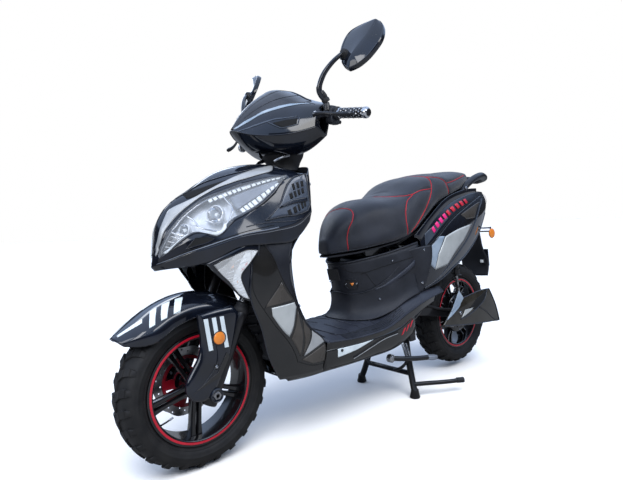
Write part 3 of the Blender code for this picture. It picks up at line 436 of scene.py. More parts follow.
def sheet_piece(name, points, faces, thickness, offset, mirrored):
    mesh = bpy.data.meshes.new(name)
    mesh.from_pydata([tuple(point) for point in points], [], faces)
    shape = bmesh.new()
    shape.from_mesh(mesh)
    bmesh.ops.remove_doubles(shape, verts=shape.verts, dist=0.00002)
    loose = [vertex for vertex in shape.verts if not vertex.link_faces]
    bmesh.ops.delete(shape, geom=loose, context="VERTS")
    shape.to_mesh(mesh)
    shape.free()
    shaded(mesh)
    piece = bpy.data.objects.new(name, mesh)
    bpy.context.scene.collection.objects.link(piece)
    if thickness:
        step = piece.modifiers.new("thick", "SOLIDIFY")
        step.thickness = thickness
        step.offset = offset
        step.use_even_offset = False
    if mirrored:
        add_mirror(piece)
    return piece


def cable(name, points, radius, look, body, mirrored=False, sides=4, replaces=(), closed=False, taper=None):
    """A round bead, rod or tube along a line of points."""
    curve = bpy.data.curves.new(name, "CURVE")
    curve.dimensions = "3D"
    curve.bevel_depth = radius
    curve.bevel_resolution = sides
    curve.use_fill_caps = True
    spline = curve.splines.new("POLY")
    spline.points.add(len(points) - 1)
    for i, (knot, point) in enumerate(zip(spline.points, points)):
        knot.co = (*point, 1.0)
        if taper:
            knot.radius = taper(i / max(len(points) - 1, 1))
    spline.use_cyclic_u = closed
    spline.use_smooth = True
    piece = bpy.data.objects.new(name, curve)
    bpy.context.scene.collection.objects.link(piece)
    if mirrored:
        add_mirror(piece)
    return settle(piece, look, body, replaces)


def turned(name, profile, centre, axis, look, body, steps=48, closed=False, replaces=(), angle=32.0,
        mirrored=False):
    """Revolve (radius, height) pairs round an axis."""
    turn = Vector(axis).to_track_quat("Z", "Y").to_matrix()
    points = []
    for i in range(steps):
        angle_here = 2 * math.pi * i / steps
        for radius, height in profile:
            local = Vector((radius * math.cos(angle_here), radius * math.sin(angle_here), height))
            points.append(Vector(centre) + turn @ local)
    size = len(profile)
    faces = []
    for i in range(steps):
        following = (i + 1) % steps
        for j in range(size if closed else size - 1):
            after = (j + 1) % size
            faces.append((i * size + j, i * size + after, following * size + after, following * size + j))
    return solid(name, points, faces, look, body, mirrored, replaces=replaces, angle=angle)


def lofted(name, sections, look, body, mirrored=False, bevel=0.0, replaces=(), closed=False, angle=32.0):
    """A solid through rings of points, capped at both ends unless it closes on itself."""
    size = len(sections[0])
    points = [point for section in sections for point in section]
    faces = []
    count = len(sections)
    for i in range(count if closed else count - 1):
        for j in range(size):
            a = i * size + j
            b = i * size + (j + 1) % size
            c = (i + 1) % count * size + (j + 1) % size
            d = (i + 1) % count * size + j
            faces.append((a, b, c, d))
    if not closed:
        faces.append(tuple(range(size)))
        faces.append(tuple(range((count - 1) * size, count * size)))
    return solid(name, points, faces, look, body, mirrored, bevel, replaces, angle)


def slab(name, outline, place, depth, look, body, bevel=0.001, mirrored=False, replaces=(), fine=0,
        sharp=()):
    """A flat piece from an outline in a plane, thickened both ways and given rounded edges."""
    if fine:
        knots = [(x, y, 0.0) for x, y in outline]
        line = smooth_line(knots + knots[:1], fine, sharp)[:-1]
        outline = [(point.x, point.y) for point in line]
    front = [place @ Vector((x, y, depth / 2)) for x, y in outline]
    back = [place @ Vector((x, y, -depth / 2)) for x, y in outline]
    return lofted(name, [front, back], look, body, mirrored, bevel, replaces)


def block(name, size, place, look, body, bevel=0.002, mirrored=False, replaces=()):
    half = [value / 2 for value in size]
    outline = [(-half[0], -half[1]), (half[0], -half[1]), (half[0], half[1]), (-half[0], half[1])]
    return slab(name, outline, place, size[2], look, body, bevel, mirrored, replaces)


def plane_at(centre, normal, up=Z_AXIS):
    """A matrix whose local z is the normal and whose local y is as near up as it can be."""
    normal = Vector(normal).normalized()
    right = Vector(up).cross(normal).normalized()
    rise = normal.cross(right)
    turn = Matrix((right, rise, normal)).transposed().to_4x4()
    return Matrix.Translation(Vector(centre)) @ turn


def bolt(name, place, direction, radius, look, body, mirrored=False):
    """A domed socket screw that stands on a surface."""
    profile = [(0.0, 0.18 * radius), (0.42 * radius, 0.18 * radius), (0.46 * radius, 0.62 * radius),
        (0.72 * radius, 0.6 * radius), (0.95 * radius, 0.38 * radius), (radius, 0.05 * radius),
        (radius, -0.3 * radius)]
    return turned(name, profile, place, direction, look, body, 18, mirrored=mirrored)


def fork_point(up, ahead=0.0, side=0.0):
    return FRONT_AXLE + UP_FORK * up + AHEAD_FORK * ahead + Y_AXIS * side


def cut_plate(name, loops, place, depth, look, body, edge=0.0, replaces=(), mirrored=False):
    """A flat plate with holes: the first loop is its outline and the others are cut out of it."""
    curve = bpy.data.curves.new(name, "CURVE")
    curve.dimensions = "2D"
    curve.fill_mode = "BOTH"
    curve.extrude = max(depth / 2 - edge, 0.0001)
    curve.bevel_depth = edge
    curve.bevel_resolution = 2
    curve.offset = -edge
    for loop in loops:
        spline = curve.splines.new("POLY")
        spline.points.add(len(loop) - 1)
        for knot, point in zip(spline.points, loop):
            knot.co = (*point, 0.0, 1.0)
        spline.use_cyclic_u = True
    piece = bpy.data.objects.new(name, curve)
    piece.matrix_world = place
    bpy.context.scene.collection.objects.link(piece)
    if mirrored:
        add_mirror(piece)
    return settle(piece, look, body, replaces)


def circle(radius, count=24, centre=(0.0, 0.0)):
    return [(centre[0] + radius * math.cos(2 * math.pi * i / count), centre[1] + radius * math.sin(2
        * math.pi * i / count)) for i in range(count)]


# ---------------------------------------------------------------- wheels
TREAD = mm([(0, 236.5), (14, 236.3), (26, 235.2), (38, 232.2), (47, 227.5), (54, 221), (58, 212),
    (58.8, 203)])
PITCHES = 26
REAR_BAR = (0.0095, 0.0085, 0.015)


def tread_radius(y):
    return ramp([(width, radius) for width, radius in TREAD], abs(y))[0]


def tyre_body(prefix, centre, body, node):
    """The carcass, a little under the tread blocks, with beads and ribs on its sidewalls."""
    half = mm([(160.5, 40.5), (168.5, 42), (170.5, 49), (174.5, 52.5), (176.5, 52.2), (178.5, 54.5),
        (186, 57.2), (193, 58.3), (194, 59), (195.5, 59), (196.5, 58.4), (204, 58.5), (212, 56.6),
        (217.5, 52), (222.5, 44), (226.5, 33), (229.5, 20), (230.5, 8)])
    outer = half + [(radius, -y) for radius, y in reversed(half)]
    turned(prefix + "_tyre_body", outer, centre, Y_AXIS, "rubber", body, 96, replaces=(node,), angle=50)


def lug(outline, angle, side, top, base, steps=3):
    """One tread block: its outline is (degrees, y) corners, raised and slightly tapered."""
    rings = []
    middle_a = sum((a for a, _ in outline)) / len(outline)
    middle_y = sum((y for _, y in outline)) / len(outline)
    dense = []
    for i, (a, y) in enumerate(outline):
        following = outline[(i + 1) % len(outline)]
        for k in range(steps):
            share = k / steps
            dense.append((a + (following[0] - a) * share, y + (following[1] - y) * share))
    for rise, scale in ((base, 1.06), (top - 0.0008, 1.0), (top, 0.93)):
        ring = []
        for a, y in dense:
            a = middle_a + (a - middle_a) * scale
            y = middle_y + (y - middle_y) * scale
            radius = tread_radius(y) + rise
            turn = math.radians(angle + a)
            ring.append(Vector((radius * math.cos(turn), side * y, radius * math.sin(turn))))
        rings.append(ring)
    return rings


def tyre_tread(prefix, centre, body):
    centre_lug = [(-4.6, 0.0022), (0.6, 0.0018), (3.2, 0.008), (4.4, 0.019), (-0.6, 0.0225), (-2.6, 0.012)]
    shoulder_lug = [(-0.4, 0.0262), (4.6, 0.0232), (6.0, 0.033), (6.4, 0.0435), (1.2, 0.0455), (0.4, 0.035)]
    edge_lug = [(1.4, 0.0482), (6.2, 0.0466), (5.9, 0.056), (2.0, 0.0568)]
    points = []
    faces = []
    for side in (-1, 1):
        for i in range(PITCHES):
            angle = 360.0 / PITCHES * (i + (0.5 if side > 0 else 0.0))
            for outline in (centre_lug, shoulder_lug, edge_lug):
                rings = lug(outline, angle, side, 0.0, -0.0075)
                size = len(rings[0])
                start = len(points)
                points.extend((centre + point for ring in rings for point in ring))
                for k in range(len(rings) - 1):
                    for j in range(size):
                        a = start + k * size + j
                        b = start + k * size + (j + 1) % size
                        faces.append((a, b, b + size, a + size))
                last = start + (len(rings) - 1) * size
                faces.append(tuple(range(last, last + size)))
    solid(prefix + "_tread", points, faces, "rubber", body, angle=40)


def spoke_blade(centre, angle, shift_in, shift_out, r_in, r_out, width, depth):
    """One bar of a spoke: its middle lies shift_in beside the spoke's axis at the hub, shift_out at the rim."""
    sections = []
    outward = Vector((math.cos(angle), 0.0, math.sin(angle)))
    along = Vector((-math.sin(angle), 0.0, math.cos(angle)))
    for i in range(7):
        share = i / 6
        radius = r_in + (r_out - r_in) * share
        shift = shift_in + (shift_out - shift_in) * share
        wide = width * (1.0 + 0.45 * max(share - 0.7, 0.0) / 0.3)
        deep = depth * (1.0 - 0.25 * math.sin(math.pi * share))
        ring = []
        for a, b in ((-0.5, -0.4), (-0.36, -0.5), (0.36, -0.5), (0.5, -0.4), (0.5, 0.4), (0.34, 0.5),
                (-0.34, 0.5), (-0.5, 0.4)):
            ring.append(centre + outward * radius + along * (shift + a * wide) + Y_AXIS * (b * deep))
        sections.append(ring)
    return sections


def wheel_bars(centre, spokes, first, bar, depth, r_in, r_out):
    """The pairs of bars that make the spokes: bar is (width, shift at the hub, shift at the rim)."""
    width, shift_in, shift_out = bar
    bars = []
    for i in range(spokes):
        angle = math.radians(first) + 2 * math.pi * i / spokes
        for sign in (-1, 1):
            bars.append(spoke_blade(centre, angle, sign * shift_in, sign * shift_out, r_in, r_out, width,
                depth))
    return bars


def wheel(prefix, centre, body, nodes, spokes, first, bar, hub_radius, depth):
    rim_node, tyre_node = nodes
    tyre_body(prefix, centre, body, tyre_node)
    tyre_tread(prefix, centre, body)
    lip = mm([(150, 46.2), (153, 47.8), (160, 48), (166.2, 47.4), (166.8, 45.5), (164, 42), (156.5, 40),
        (153, 33), (151.5, 15), (151.5, 0)])
    inner = mm([(146.5, 0), (146.5, 18), (147.5, 36), (148.2, 44)])
    profile = lip[:0:-1] + lip[:1] + inner[::-1]
    whole = profile + [(r, -y) for r, y in profile[::-1][1:-1]]
    turned(prefix + "_rim_barrel", whole, centre, Y_AXIS, "rim", body, 96, closed=True,
        replaces=(rim_node,))
    for sign, word in SIDES:
        stripe = mm([(153.5, 48.2), (154, 48.9), (159.6, 48.9), (160.2, 48.2)])
        turned(prefix + "_rim_stripe_" + word, [(r, sign * y) for r, y in stripe], centre, Y_AXIS, "red",
            body, 96)
    blades = wheel_bars(centre, spokes, first, bar, depth, hub_radius - 0.004, 0.15)
    points = []
    faces = []
    for sections in blades:
        size = len(sections[0])
        start = len(points)
        points.extend((point for section in sections for point in section))
        for k in range(len(sections) - 1):
            for j in range(size):
                a = start + k * size + j
                b = start + k * size + (j + 1) % size
                faces.append((a, b, b + size, a + size))
    solid(prefix + "_spokes", points, faces, "rim", body, angle=40)


def spoke_edges(prefix, centre, body, spokes, first, bar, hub_radius, depth):
    """Machined silver edges along the outer face of the rear wheel's spokes."""
    points = []
    faces = []
    for sections in wheel_bars(centre, spokes, first, bar, depth, hub_radius, 0.148):
        rows = [[ring[6] + Y_AXIS * 0.0006, ring[5] + Y_AXIS * 0.0006] for ring in sections]
        start = len(points)
        points.extend((point for row in rows for point in row))
        for k in range(len(rows) - 1):
            a = start + 2 * k
            faces.append((a, a + 1, a + 3, a + 2))
    solid(prefix + "_spoke_edges", points, faces, "silver", body)


def build_front_wheel():
    wheel("front", FRONT_AXLE, "front_wheel", ("front_rim", "front_tyre"), 5, -14.0,
        (0.0125, 0.0095, 0.0105), 0.034, 0.036)
    hub = mm([(8, 54), (18, 54.5), (22.5, 51), (27, 42), (34.5, 30), (35, 0), (34.5, -30), (33, -48),
        (40, -56), (8, -56.5)])
    turned("front_hub", hub, FRONT_AXLE, Y_AXIS, "rim", "front_wheel", 48)
    turned("front_hub_seal", mm([(8.5, 55.2), (15, 55.6), (17.2, 54)]), FRONT_AXLE, Y_AXIS, "soft",
        "front_wheel", 32)
    place = plane_at(FRONT_AXLE - Y_AXIS * 0.062, Y_AXIS)
    edge = []
    for i in range(120):
        turn = 2 * math.pi * i / 120
        radius = 0.1062 + 0.0018 * math.cos(10 * turn)
        edge.append((radius * math.cos(turn), radius * math.sin(turn)))
    holes = [circle(0.077, 60)]
    for i in range(30):
        turn = 2 * math.pi * i / 30
        radius = (0.084, 0.0915, 0.099)[i % 3]
        holes.append(circle(0.0028, 10, (radius * math.cos(turn), radius * math.sin(turn))))
    cut_plate("front_brake_disc", [edge] + holes, place, 0.004, "steel", "front_wheel",
        replaces=("front_disc",))
    rim = circle(0.08, 60)
    windows = [circle(0.02, 30)]
    for i in range(5):
        middle = 2 * math.pi * i / 5
        window = []
        for k in range(9):
            turn = middle + math.radians(-24 + 6 * k)
            window.append((0.07 * math.cos(turn), 0.07 * math.sin(turn)))
        for k in range(9):
            turn = middle + math.radians(16 - 4 * k)
            window.append((0.044 * math.cos(turn), 0.044 * math.sin(turn)))
        windows.append(window)
    cut_plate("front_disc_carrier", [rim] + windows, plane_at(FRONT_AXLE - Y_AXIS * 0.0592, Y_AXIS), 0.0055,
        "red", "front_wheel", edge=0.0008)
    for i in range(5):
        turn = 2 * math.pi * (i + 0.5) / 5
        spot = FRONT_AXLE + Vector((0.058 * math.cos(turn), -0.0635, 0.058 * math.sin(turn)))
        bolt("front_disc_bolt_%d" % i, spot, -Y_AXIS, 0.0042, "zinc", "front_wheel")
    root = FRONT_AXLE + Vector((0.128, 0.034, -0.076))
    cable("front_valve", [root, root + Vector((-0.012, 0.008, 0.007)), root
        + Vector((-0.026, 0.012, 0.014))], 0.0026, "soft", "front_wheel")
    cap = root + Vector((-0.026, 0.012, 0.014))
    turned("front_valve_cap", mm([(0, 9), (2.6, 8.5), (3.2, 0), (3, -4)]), cap, Vector((-0.85, 0.2, 0.45)),
        "zinc", "front_wheel", 16)


def build_rear_wheel():
    wheel("rear", REAR_AXLE, "rear_wheel", ("hub_motor", "rear_tyre"), 7, 180.0 / 7, REAR_BAR, 0.094, 0.036)
    spoke_edges("rear", REAR_AXLE, "rear_wheel", 7, 180.0 / 7, (0.006, 0.0085, 0.015), 0.094, 0.036)
    case = mm([(8.5, 60), (22, 60), (24, 57), (30, 56), (33, 53), (70, 49), (76, 50), (85, 48), (90.5, 44),
        (92.5, 38), (92.5, -38), (90.5, -44), (85, -48), (33, -53), (8.5, -60)])
    turned("rear_motor_case", case, REAR_AXLE, Y_AXIS, "rim", "rear_wheel", 72)
    for i in range(8):
        turn = 2 * math.pi * i / 8
        for side in (-1, 1):
            spot = REAR_AXLE + Vector((0.081 * math.cos(turn), side * 0.0492, 0.081 * math.sin(turn)))
            bolt("rear_motor_bolt_%d_%s" % (i, "left" if side > 0 else "right"), spot, Y_AXIS * side,
                0.0045, "zinc", "rear_wheel")
    for i in range(12):
        turn = 2 * math.pi * (i + 0.5) / 12
        outward = Vector((math.cos(turn), 0.0, math.sin(turn)))
        points = [REAR_AXLE + outward * radius + Y_AXIS * height for radius, height in ((0.037, 0.0535),
            (0.055, 0.052), (0.071, 0.0502))]
        cable("rear_motor_rib_%d" % i, points, 0.0022, "rim", "rear_wheel")


# ---------------------------------------------------------------- fork and front fender
def fender_row(angle, crown):
    turn = math.radians(angle)
    if crown > 0.29:
        offsets = ((0.0, crown), (0.02, crown - 0.006), (0.034, crown - 0.014), (0.042, crown - 0.026))
    else:
        offsets = ((0.0, crown), (0.045, crown - 0.008), (0.072, crown - 0.03), (0.078, crown - 0.062))
    return [(FRONT_AXLE.x + radius * math.cos(turn), y, FRONT_AXLE.z + radius * math.sin(turn)) for y,
        radius in offsets]


def build_fender():
    rows = [fender_row(angle, crown) for angle, crown in ((37.4, 0.298), (50, 0.283), (65, 0.28),
        (82, 0.281), (100, 0.281), (122, 0.281))]
    sheet = Surface(both_columns(rows), FRONT_AXLE, fine=8, body="fork")
    sheet.skin("front_fender_shell", "gloss", 0.0025, replaces=("front_fender",), lift=0.003)
    over = 0.0034
    bars = [
        ("front_fender_bar_1", [(0.2, 2.3), (1.2, 2.06), (1.34, 2.36), (0.24, 2.62)]),
        ("front_fender_bar_2", [(1.2, 1.3), (1.45, 1.22), (2.02, 2.42), (1.74, 2.5)]),
        ("front_fender_bar_3", [(1.72, 1.15), (1.98, 1.05), (2.48, 2.3), (2.2, 2.38)]),
        ("front_fender_bar_4", [(2.24, 1.0), (2.5, 0.9), (2.94, 2.18), (2.66, 2.26)]),
    ]
    for name, corners in bars:
        sheet.patch(name, corners, "white", over, 0.0004)
        sheet.patch(name + "_right", [(u, 6.0 - v) for u, v in corners], "white", over, 0.0004)
    for v, word in ((1.02, "left"), (4.98, "right")):
        sheet.seam("front_fender_crease_" + word, [(0.1, v), (1.0, v), (2.5, v), (4.0, v), (4.9, v)],
            0.0009, "gloss", 0.003)
    rim = [(0.02, 3.0), (0.05, 1.5), (0.3, 0.06), (1.5, 0.03), (3.0, 0.03), (4.95, 0.03)]
    sheet.seam("front_fender_edge_left", rim, 0.0016, "gloss", 0.0016)
    sheet.seam("front_fender_edge_right", [(u, 6.0 - v) for u, v in rim], 0.0016, "gloss", 0.0016)


GUARD_MARK = mm([
    [(736, 456), (723, 456), (711, 366), (724, 366)],
    [(711, 456), (698, 456), (690, 396), (703, 396)],
    [(686, 456), (673, 456), (661, 366), (674, 366)],
])


def build_fork():
    # the moulded guard over each fork leg, an arrow shape that comes to a point ahead of the axle
    outline = mm([(747, 468), (744, 430), (741, 395), (750, 352), (772, 318), (790, 286), (790, 258),
        (772, 236), (745, 228), (718, 236), (700, 256), (680, 292), (660, 325), (642, 372), (626, 425),
        (618, 460)])
    middle = Vector((0.7, 0.35))
    rings = []
    for share, y in ((1.0, 0.1155), (1.0, 0.1235), (0.965, 0.1275), (0.88, 0.1305), (0.62, 0.1325),
            (0.3, 0.1335)):
        ring = []
        for x, z in outline:
            spine = Vector((middle.x + (0.365 - z) * 0.3, z))
            spot = spine.lerp(Vector((x, z)), share)
            spot.y = middle.y + (z - middle.y) * (1.0 - 0.18 * (1.0 - share))
            ring.append(Vector((spot.x, y, spot.y)))
        line = smooth_line(ring + ring[:1], 3)[:-1]
        rings.append(line)
    lofted("fork_guard", rings, "gloss", "fork", mirrored=True, angle=40, bevel=0.0)
    ridge = mm([(742, 131.6, 452), (700, 135, 380), (700, 135.2, 330), (745, 133, 275), (768, 130, 246)])
    cable("fork_guard_ridge", smooth_line(ridge, 8), 0.0013, "gloss", "fork", mirrored=True,
        taper=lambda t: math.sin(math.pi * min(max(t, 0.04), 0.96)))
    mark = plane_at((0.0, 0.1343, 0.0), Y_AXIS)
    for i, corners in enumerate(GUARD_MARK):
        outline = [(-x, z) for x, z in corners]
        slab("fork_guard_mark_%d" % i, outline, mark, 0.001, "white", "fork", 0.0002, mirrored=True)
    arrow = mm([(-772, 262), (-700, 300), (-668, 352), (-660, 338), (-690, 288)])
    slab("fork_guard_arrow", arrow, plane_at((0.0, 0.1338, 0.0), Y_AXIS), 0.002, "facet", "fork", 0.0006,
        mirrored=True)
    for side, word in SIDES:
        line = side * FORK_HALF
        points = [(0.0163, 0.245), (0.0163, 0.395)]
        turned("fork_stanchion_" + word, points, fork_point(0.0, side=line), UP_FORK, "chrome", "steering",
            40)
        slider = mm([(15, -34), (20, -33), (22.8, -28), (22.8, 60), (22.2, 70), (22.2, 205), (23.2, 212),
            (23.2, 236), (22.2, 240)])
        turned("fork_slider_" + word, slider, fork_point(0.0, side=line), UP_FORK, "frame", "fork", 40,
            replaces=("fork_leg_" + word,))
        seal = mm([(22.2, 238), (23.8, 241), (23.8, 252), (21.5, 256), (20.5, 266), (16.6, 270)])
        turned("fork_seal_" + word, seal, fork_point(0.0, side=line), UP_FORK, "soft", "fork", 40)
        centre = FRONT_AXLE + Y_AXIS * side * 0.1335
        boss = mm([(0, 1.5), (15, 1.5), (17.5, 3), (20, 1.2), (20.5, -6)])
        turned("axle_boss_" + word, boss, centre, Y_AXIS * side, "gloss", "fork", 40)
        hexagon = circle(0.0115, 6)
        slab("axle_nut_" + word, hexagon, plane_at(centre + Y_AXIS * side * 0.0022, Y_AXIS * side), 0.0046,
            "steel", "fork", 0.0009)
        turned("axle_end_" + word, mm([(0, 4.5), (5.2, 4.5), (6.6, 3.2), (6.6, 0)]), centre, Y_AXIS * side,
            "zinc", "fork", 24)
        small = Vector((0.703, side * 0.1338, 0.318))
        turned("fork_guard_washer_" + word, mm([(0, 1.2), (7, 1.2), (8.6, 0)]), small, Y_AXIS * side,
            "dark", "fork", 24)
        bolt("fork_guard_bolt_" + word, small + Y_AXIS * side * 0.001, Y_AXIS * side, 0.005, "zinc", "fork")
        reflector = Vector((0.69, side * 0.1335, 0.396))
        dome = mm([(0, 4.8), (10, 4.4), (16.5, 3), (18.2, 1), (18.6, -3)])
        turned("fork_reflector_" + word, dome, reflector, Y_AXIS * side, "amber", "fork", 40)
        rim = mm([(18.2, 1.6), (19.6, 2.6), (21, 1.4), (21.2, -3)])
        turned("fork_reflector_rim_" + word, rim, reflector, Y_AXIS * side, "soft", "fork", 40)
    middle = FRONT_AXLE + Vector((-0.098, -0.0625, 0.022))
    turn = Matrix.Translation(middle) @ Matrix.Rotation(math.radians(-13), 4,
        "Y") @ Matrix.Rotation(math.radians(90), 4, "X")
    body = mm([(-30, -26), (-12, -31), (22, -29), (31, -16), (31, 14), (24, 27), (-14, 30), (-30, 22)])
    place = Matrix.Translation(Vector((0.0, 0.0105, 0.0))) @ turn
    slab("front_caliper_outer", body, place, 0.012, "red", "fork", 0.0032, replaces=("front_caliper",))
    place = Matrix.Translation(Vector((0.0, -0.0105, 0.0))) @ turn
    slab("front_caliper_inner", body, place, 0.012, "red", "fork", 0.0032)
    bridge = mm([(-30, -22), (-19, -24), (-19, 20), (-30, 18)])
    slab("front_caliper_bridge", bridge, turn, 0.012, "red", "fork", 0.0015)
    for x, z in ((-0.02, 0.02), (-0.02, -0.02)):
        spot = turn @ Vector((x, z, -0.017))
        bolt("front_caliper_bolt_%s" % ("top" if z > 0 else "low"), spot, Y_AXIS, 0.0052, "zinc", "fork")


# ---------------------------------------------------------------- the body's sheets
def cowl_sheet():
    crown = mm([(812, 0, 660), (810, 0, 666), (797, 0, 730), (776, 0, 764), (694, 0, 823), (600, 0, 882),
        (500, 0, 908), (440, 0, 912)])
    upper = mm([(812, 0, 645), (806, 18, 660), (790, 40, 700), (756, 47, 728), (690, 60, 772),
        (580, 100, 832), (448, 155, 862), (395, 162, 868)])
    lower = mm([(818, 0, 617), (790, 55, 645), (755, 85, 668), (700, 112, 690), (635, 137, 712),
        (560, 160, 765), (456, 172, 845), (383, 188, 862)])
    lip = mm([(822, 0, 602), (785, 58, 622), (745, 92, 640), (690, 122, 656), (610, 158, 680),
        (520, 185, 692), (430, 199, 712), (385, 201, 745)])
    return Surface(both_rows([crown, upper, lower, lip]), (0.5, 0.0, 0.7), fine=16, sharp_rows=(1, 2, 4, 5),
        mirrored=True)


SHIELD_ROWS = mm([
    [(588, 152, 664), (530, 168, 667), (480, 179, 672), (445, 184, 682)],
    [(590, 163, 600), (530, 177, 600), (500, 185, 600), (472, 188, 600)],
    [(600, 162, 505), (550, 176, 500), (500, 183, 490), (452, 182, 480)],
    [(565, 162, 400), (520, 172, 400), (460, 180, 395), (405, 180, 390)],
    [(545, 160, 320), (490, 168, 320), (410, 176, 320), (333, 177, 325)],
    [(500, 152, 235), (450, 156, 230), (390, 160, 225), (333, 160, 222)],
])
INNER_ROWS = mm([
    [(300, 0, 905), (312, 100, 898), (374, 172, 866)],
    [(315, 0, 750), (325, 100, 750), (380, 190, 745)],
    [(330, 0, 600), (400, 100, 600), (470, 182, 600)],
    [(322, 0, 480), (385, 100, 480), (438, 173, 480)],
    [(312, 0, 400), (350, 100, 395), (395, 171, 390)],
    [(318, 0, 345), (320, 100, 342), (322, 168, 336)],
])
GUARD_ROWS = mm([
    [(417, 0, 532), (423, 60, 532), (444, 116, 530)],
    [(417, 0, 480), (423, 60, 480), (448, 135, 480)],
    [(415, 0, 350), (420, 60, 350), (445, 140, 350)],
    [(422, 0, 246), (426, 60, 246), (448, 140, 248)],
])
BOARD_ROWS = mm([
    [(316, 0, 328), (316, 110, 325), (316, 140, 322), (316, 178, 318)],
    [(135, 0, 342), (135, 110, 336), (135, 140, 328), (135, 186, 310)],
    [(20, 0, 348), (20, 110, 344), (20, 140, 338), (20, 185, 318)],
    [(-90, 0, 360), (-90, 110, 368), (-90, 145, 388), (-90, 180, 350)],
    [(-200, 0, 400), (-200, 110, 400), (-200, 145, 412), (-200, 176, 380)],
    [(-365, 0, 440), (-365, 110, 440), (-365, 137, 425), (-365, 158, 402)],
])
SKIRT_ROWS = mm([
    [(432, 0, 206), (434, 90, 208), (455, 133, 218), (465, 138, 240)],
    [(340, 0, 205), (340, 90, 207), (340, 140, 214), (340, 148, 240)],
    [(322, 0, 205), (322, 100, 207), (322, 158, 222), (322, 172, 296)],
    [(100, 0, 206), (100, 100, 208), (100, 160, 222), (100, 182, 296)],
    [(-60, 0, 213), (-60, 100, 215), (-60, 162, 234), (-60, 177, 312)],
    [(-145, 0, 228), (-145, 100, 232), (-145, 160, 264), (-145, 170, 345)],
])
TOWER_ROWS = mm([
    [(122, 0, 560), (104, 50, 560), (52, 100, 572), (-30, 134, 588), (-120, 150, 606), (-200, 157, 622)],
    [(98, 0, 460), (82, 50, 460), (30, 98, 462), (-45, 130, 466), (-130, 145, 472), (-212, 152, 480)],
    [(85, 0, 364), (70, 50, 364), (20, 96, 368), (-60, 122, 400), (-140, 128, 424), (-224, 134, 438)],
])
PANEL_ROWS = mm([
    [(-215, 158, 630), (-300, 158, 705), (-420, 147, 768), (-600, 122, 815), (-760, 90, 834),
        (-862, 64, 834)],
    [(-222, 166, 520), (-310, 175, 600), (-430, 172, 670), (-600, 148, 725), (-760, 115, 765),
        (-868, 80, 790)],
    [(-236, 152, 425), (-330, 158, 445), (-450, 152, 490), (-600, 132, 545), (-745, 107, 630),
        (-860, 80, 735)],
])
FLAP_ROWS = mm([
    [(-790, 0, 735), (-790, 45, 735)],
    [(-822, 0, 660), (-822, 60, 660)],
    [(-850, 0, 548), (-850, 68, 548)],
    [(-888, 0, 480), (-886, 75, 480)],
    [(-886, 0, 410), (-884, 70, 412)],
])
COVER_ROWS = mm([
    [(285, 0, 1150), (290, 70, 1140), (292, 140, 1112), (288, 200, 1090)],
    [(388, 0, 1135), (380, 60, 1120), (350, 130, 1098), (318, 200, 1082)],
    [(470, 0, 1090), (450, 50, 1075), (395, 115, 1055), (335, 200, 1050)],
    [(539, 0, 1015), (500, 45, 1000), (425, 100, 995), (335, 200, 1015)],
    [(470, 0, 962), (440, 45, 955), (385, 95, 950), (320, 200, 995)],
    [(365, 0, 940), (360, 50, 940), (335, 90, 940), (300, 195, 990)],
])
SWING_ROWS = mm([
    [(-385, 118, 240), (-540, 118, 222), (-690, 125, 212), (-812, 150, 205)],
    [(-372, 145, 252), (-540, 158, 232), (-690, 164, 220), (-810, 164, 212)],
    [(-425, 146, 300), (-560, 160, 300), (-680, 166, 300), (-778, 164, 290)],
    [(-480, 144, 345), (-560, 152, 360), (-650, 156, 372), (-735, 156, 372)],
])
SEAT_STATIONS = mm([(160, 590, 650, 30), (128, 594, 706, 60), (75, 601, 757, 100), (0, 614, 791, 138),
    (-100, 632, 803, 158), (-170, 655, 822, 161), (-250, 705, 875, 157), (-360, 772, 903, 146),
    (-500, 815, 912, 128), (-640, 848, 930, 95), (-745, 868, 932, 55)])


def seat_row(x, low, high, half):
    """Half a ring across the seat, from the crown down to the rolled edge under its side."""
    waist = low + 0.45 * (high - low)
    shoulder = low + 0.85 * (high - low)
    return [(x, 0.0, high), (x, half * 0.45, high - 0.003), (x, half * 0.86, shoulder), (x, half, waist),
        (x, half * 0.98, low + 0.006), (x, half * 0.8, low)]


COWL = cowl_sheet()
CHIN = Surface(mm([[(822, 0, 602), (785, 58, 622), (745, 92, 640), (690, 122, 656), (610, 158, 680),
    (520, 185, 692), (430, 199, 712), (385, 201, 745)], [(812, 0, 590), (775, 52, 597), (735, 84, 600),
    (690, 114, 612), (620, 151, 648), (535, 178, 652), (455, 192, 658), (392, 198, 715)]]), (0.5, 0.0, 0.7),
    fine=8, mirrored=True)
SHIELD = Surface(SHIELD_ROWS, (0.4, 0.0, 0.45), fine=8, mirrored=True)
INNER = Surface(both_columns(INNER_ROWS), (0.45, 0.0, 0.55), fine=8)
GUARD = Surface(both_columns(GUARD_ROWS), (0.3, 0.0, 0.4), fine=8)
BOARD = Surface(both_columns(BOARD_ROWS), (0.0, 0.0, 0.2), fine=8, sharp_columns=(2, 4), mirrored=True)
SKIRT = Surface(both_columns(SKIRT_ROWS), (0.1, 0.0, 0.3), fine=8, sharp_rows=(2,), mirrored=True)
TOWER = Surface(both_columns(TOWER_ROWS), (-0.1, 0.0, 0.45), fine=6, mirrored=True)
PANEL = Surface(PANEL_ROWS, (-0.5, 0.0, 0.65), fine=10, mirrored=True)
FLAP = Surface(both_columns(FLAP_ROWS), (-0.7, 0.0, 0.55), fine=8)
COVER = Surface(both_columns(COVER_ROWS), (0.36, 0.0, 1.04), fine=8, sharp_rows=(3,), body="steering",
    mirrored=True)
SWING = Surface(SWING_ROWS, (-0.6, 0.0, 0.28), fine=10, sharp_rows=(1,), body="swingarm")
SEAT = Surface(both_columns([seat_row(*station) for station in SEAT_STATIONS]), (-0.3, 0.0, 0.72), fine=5)


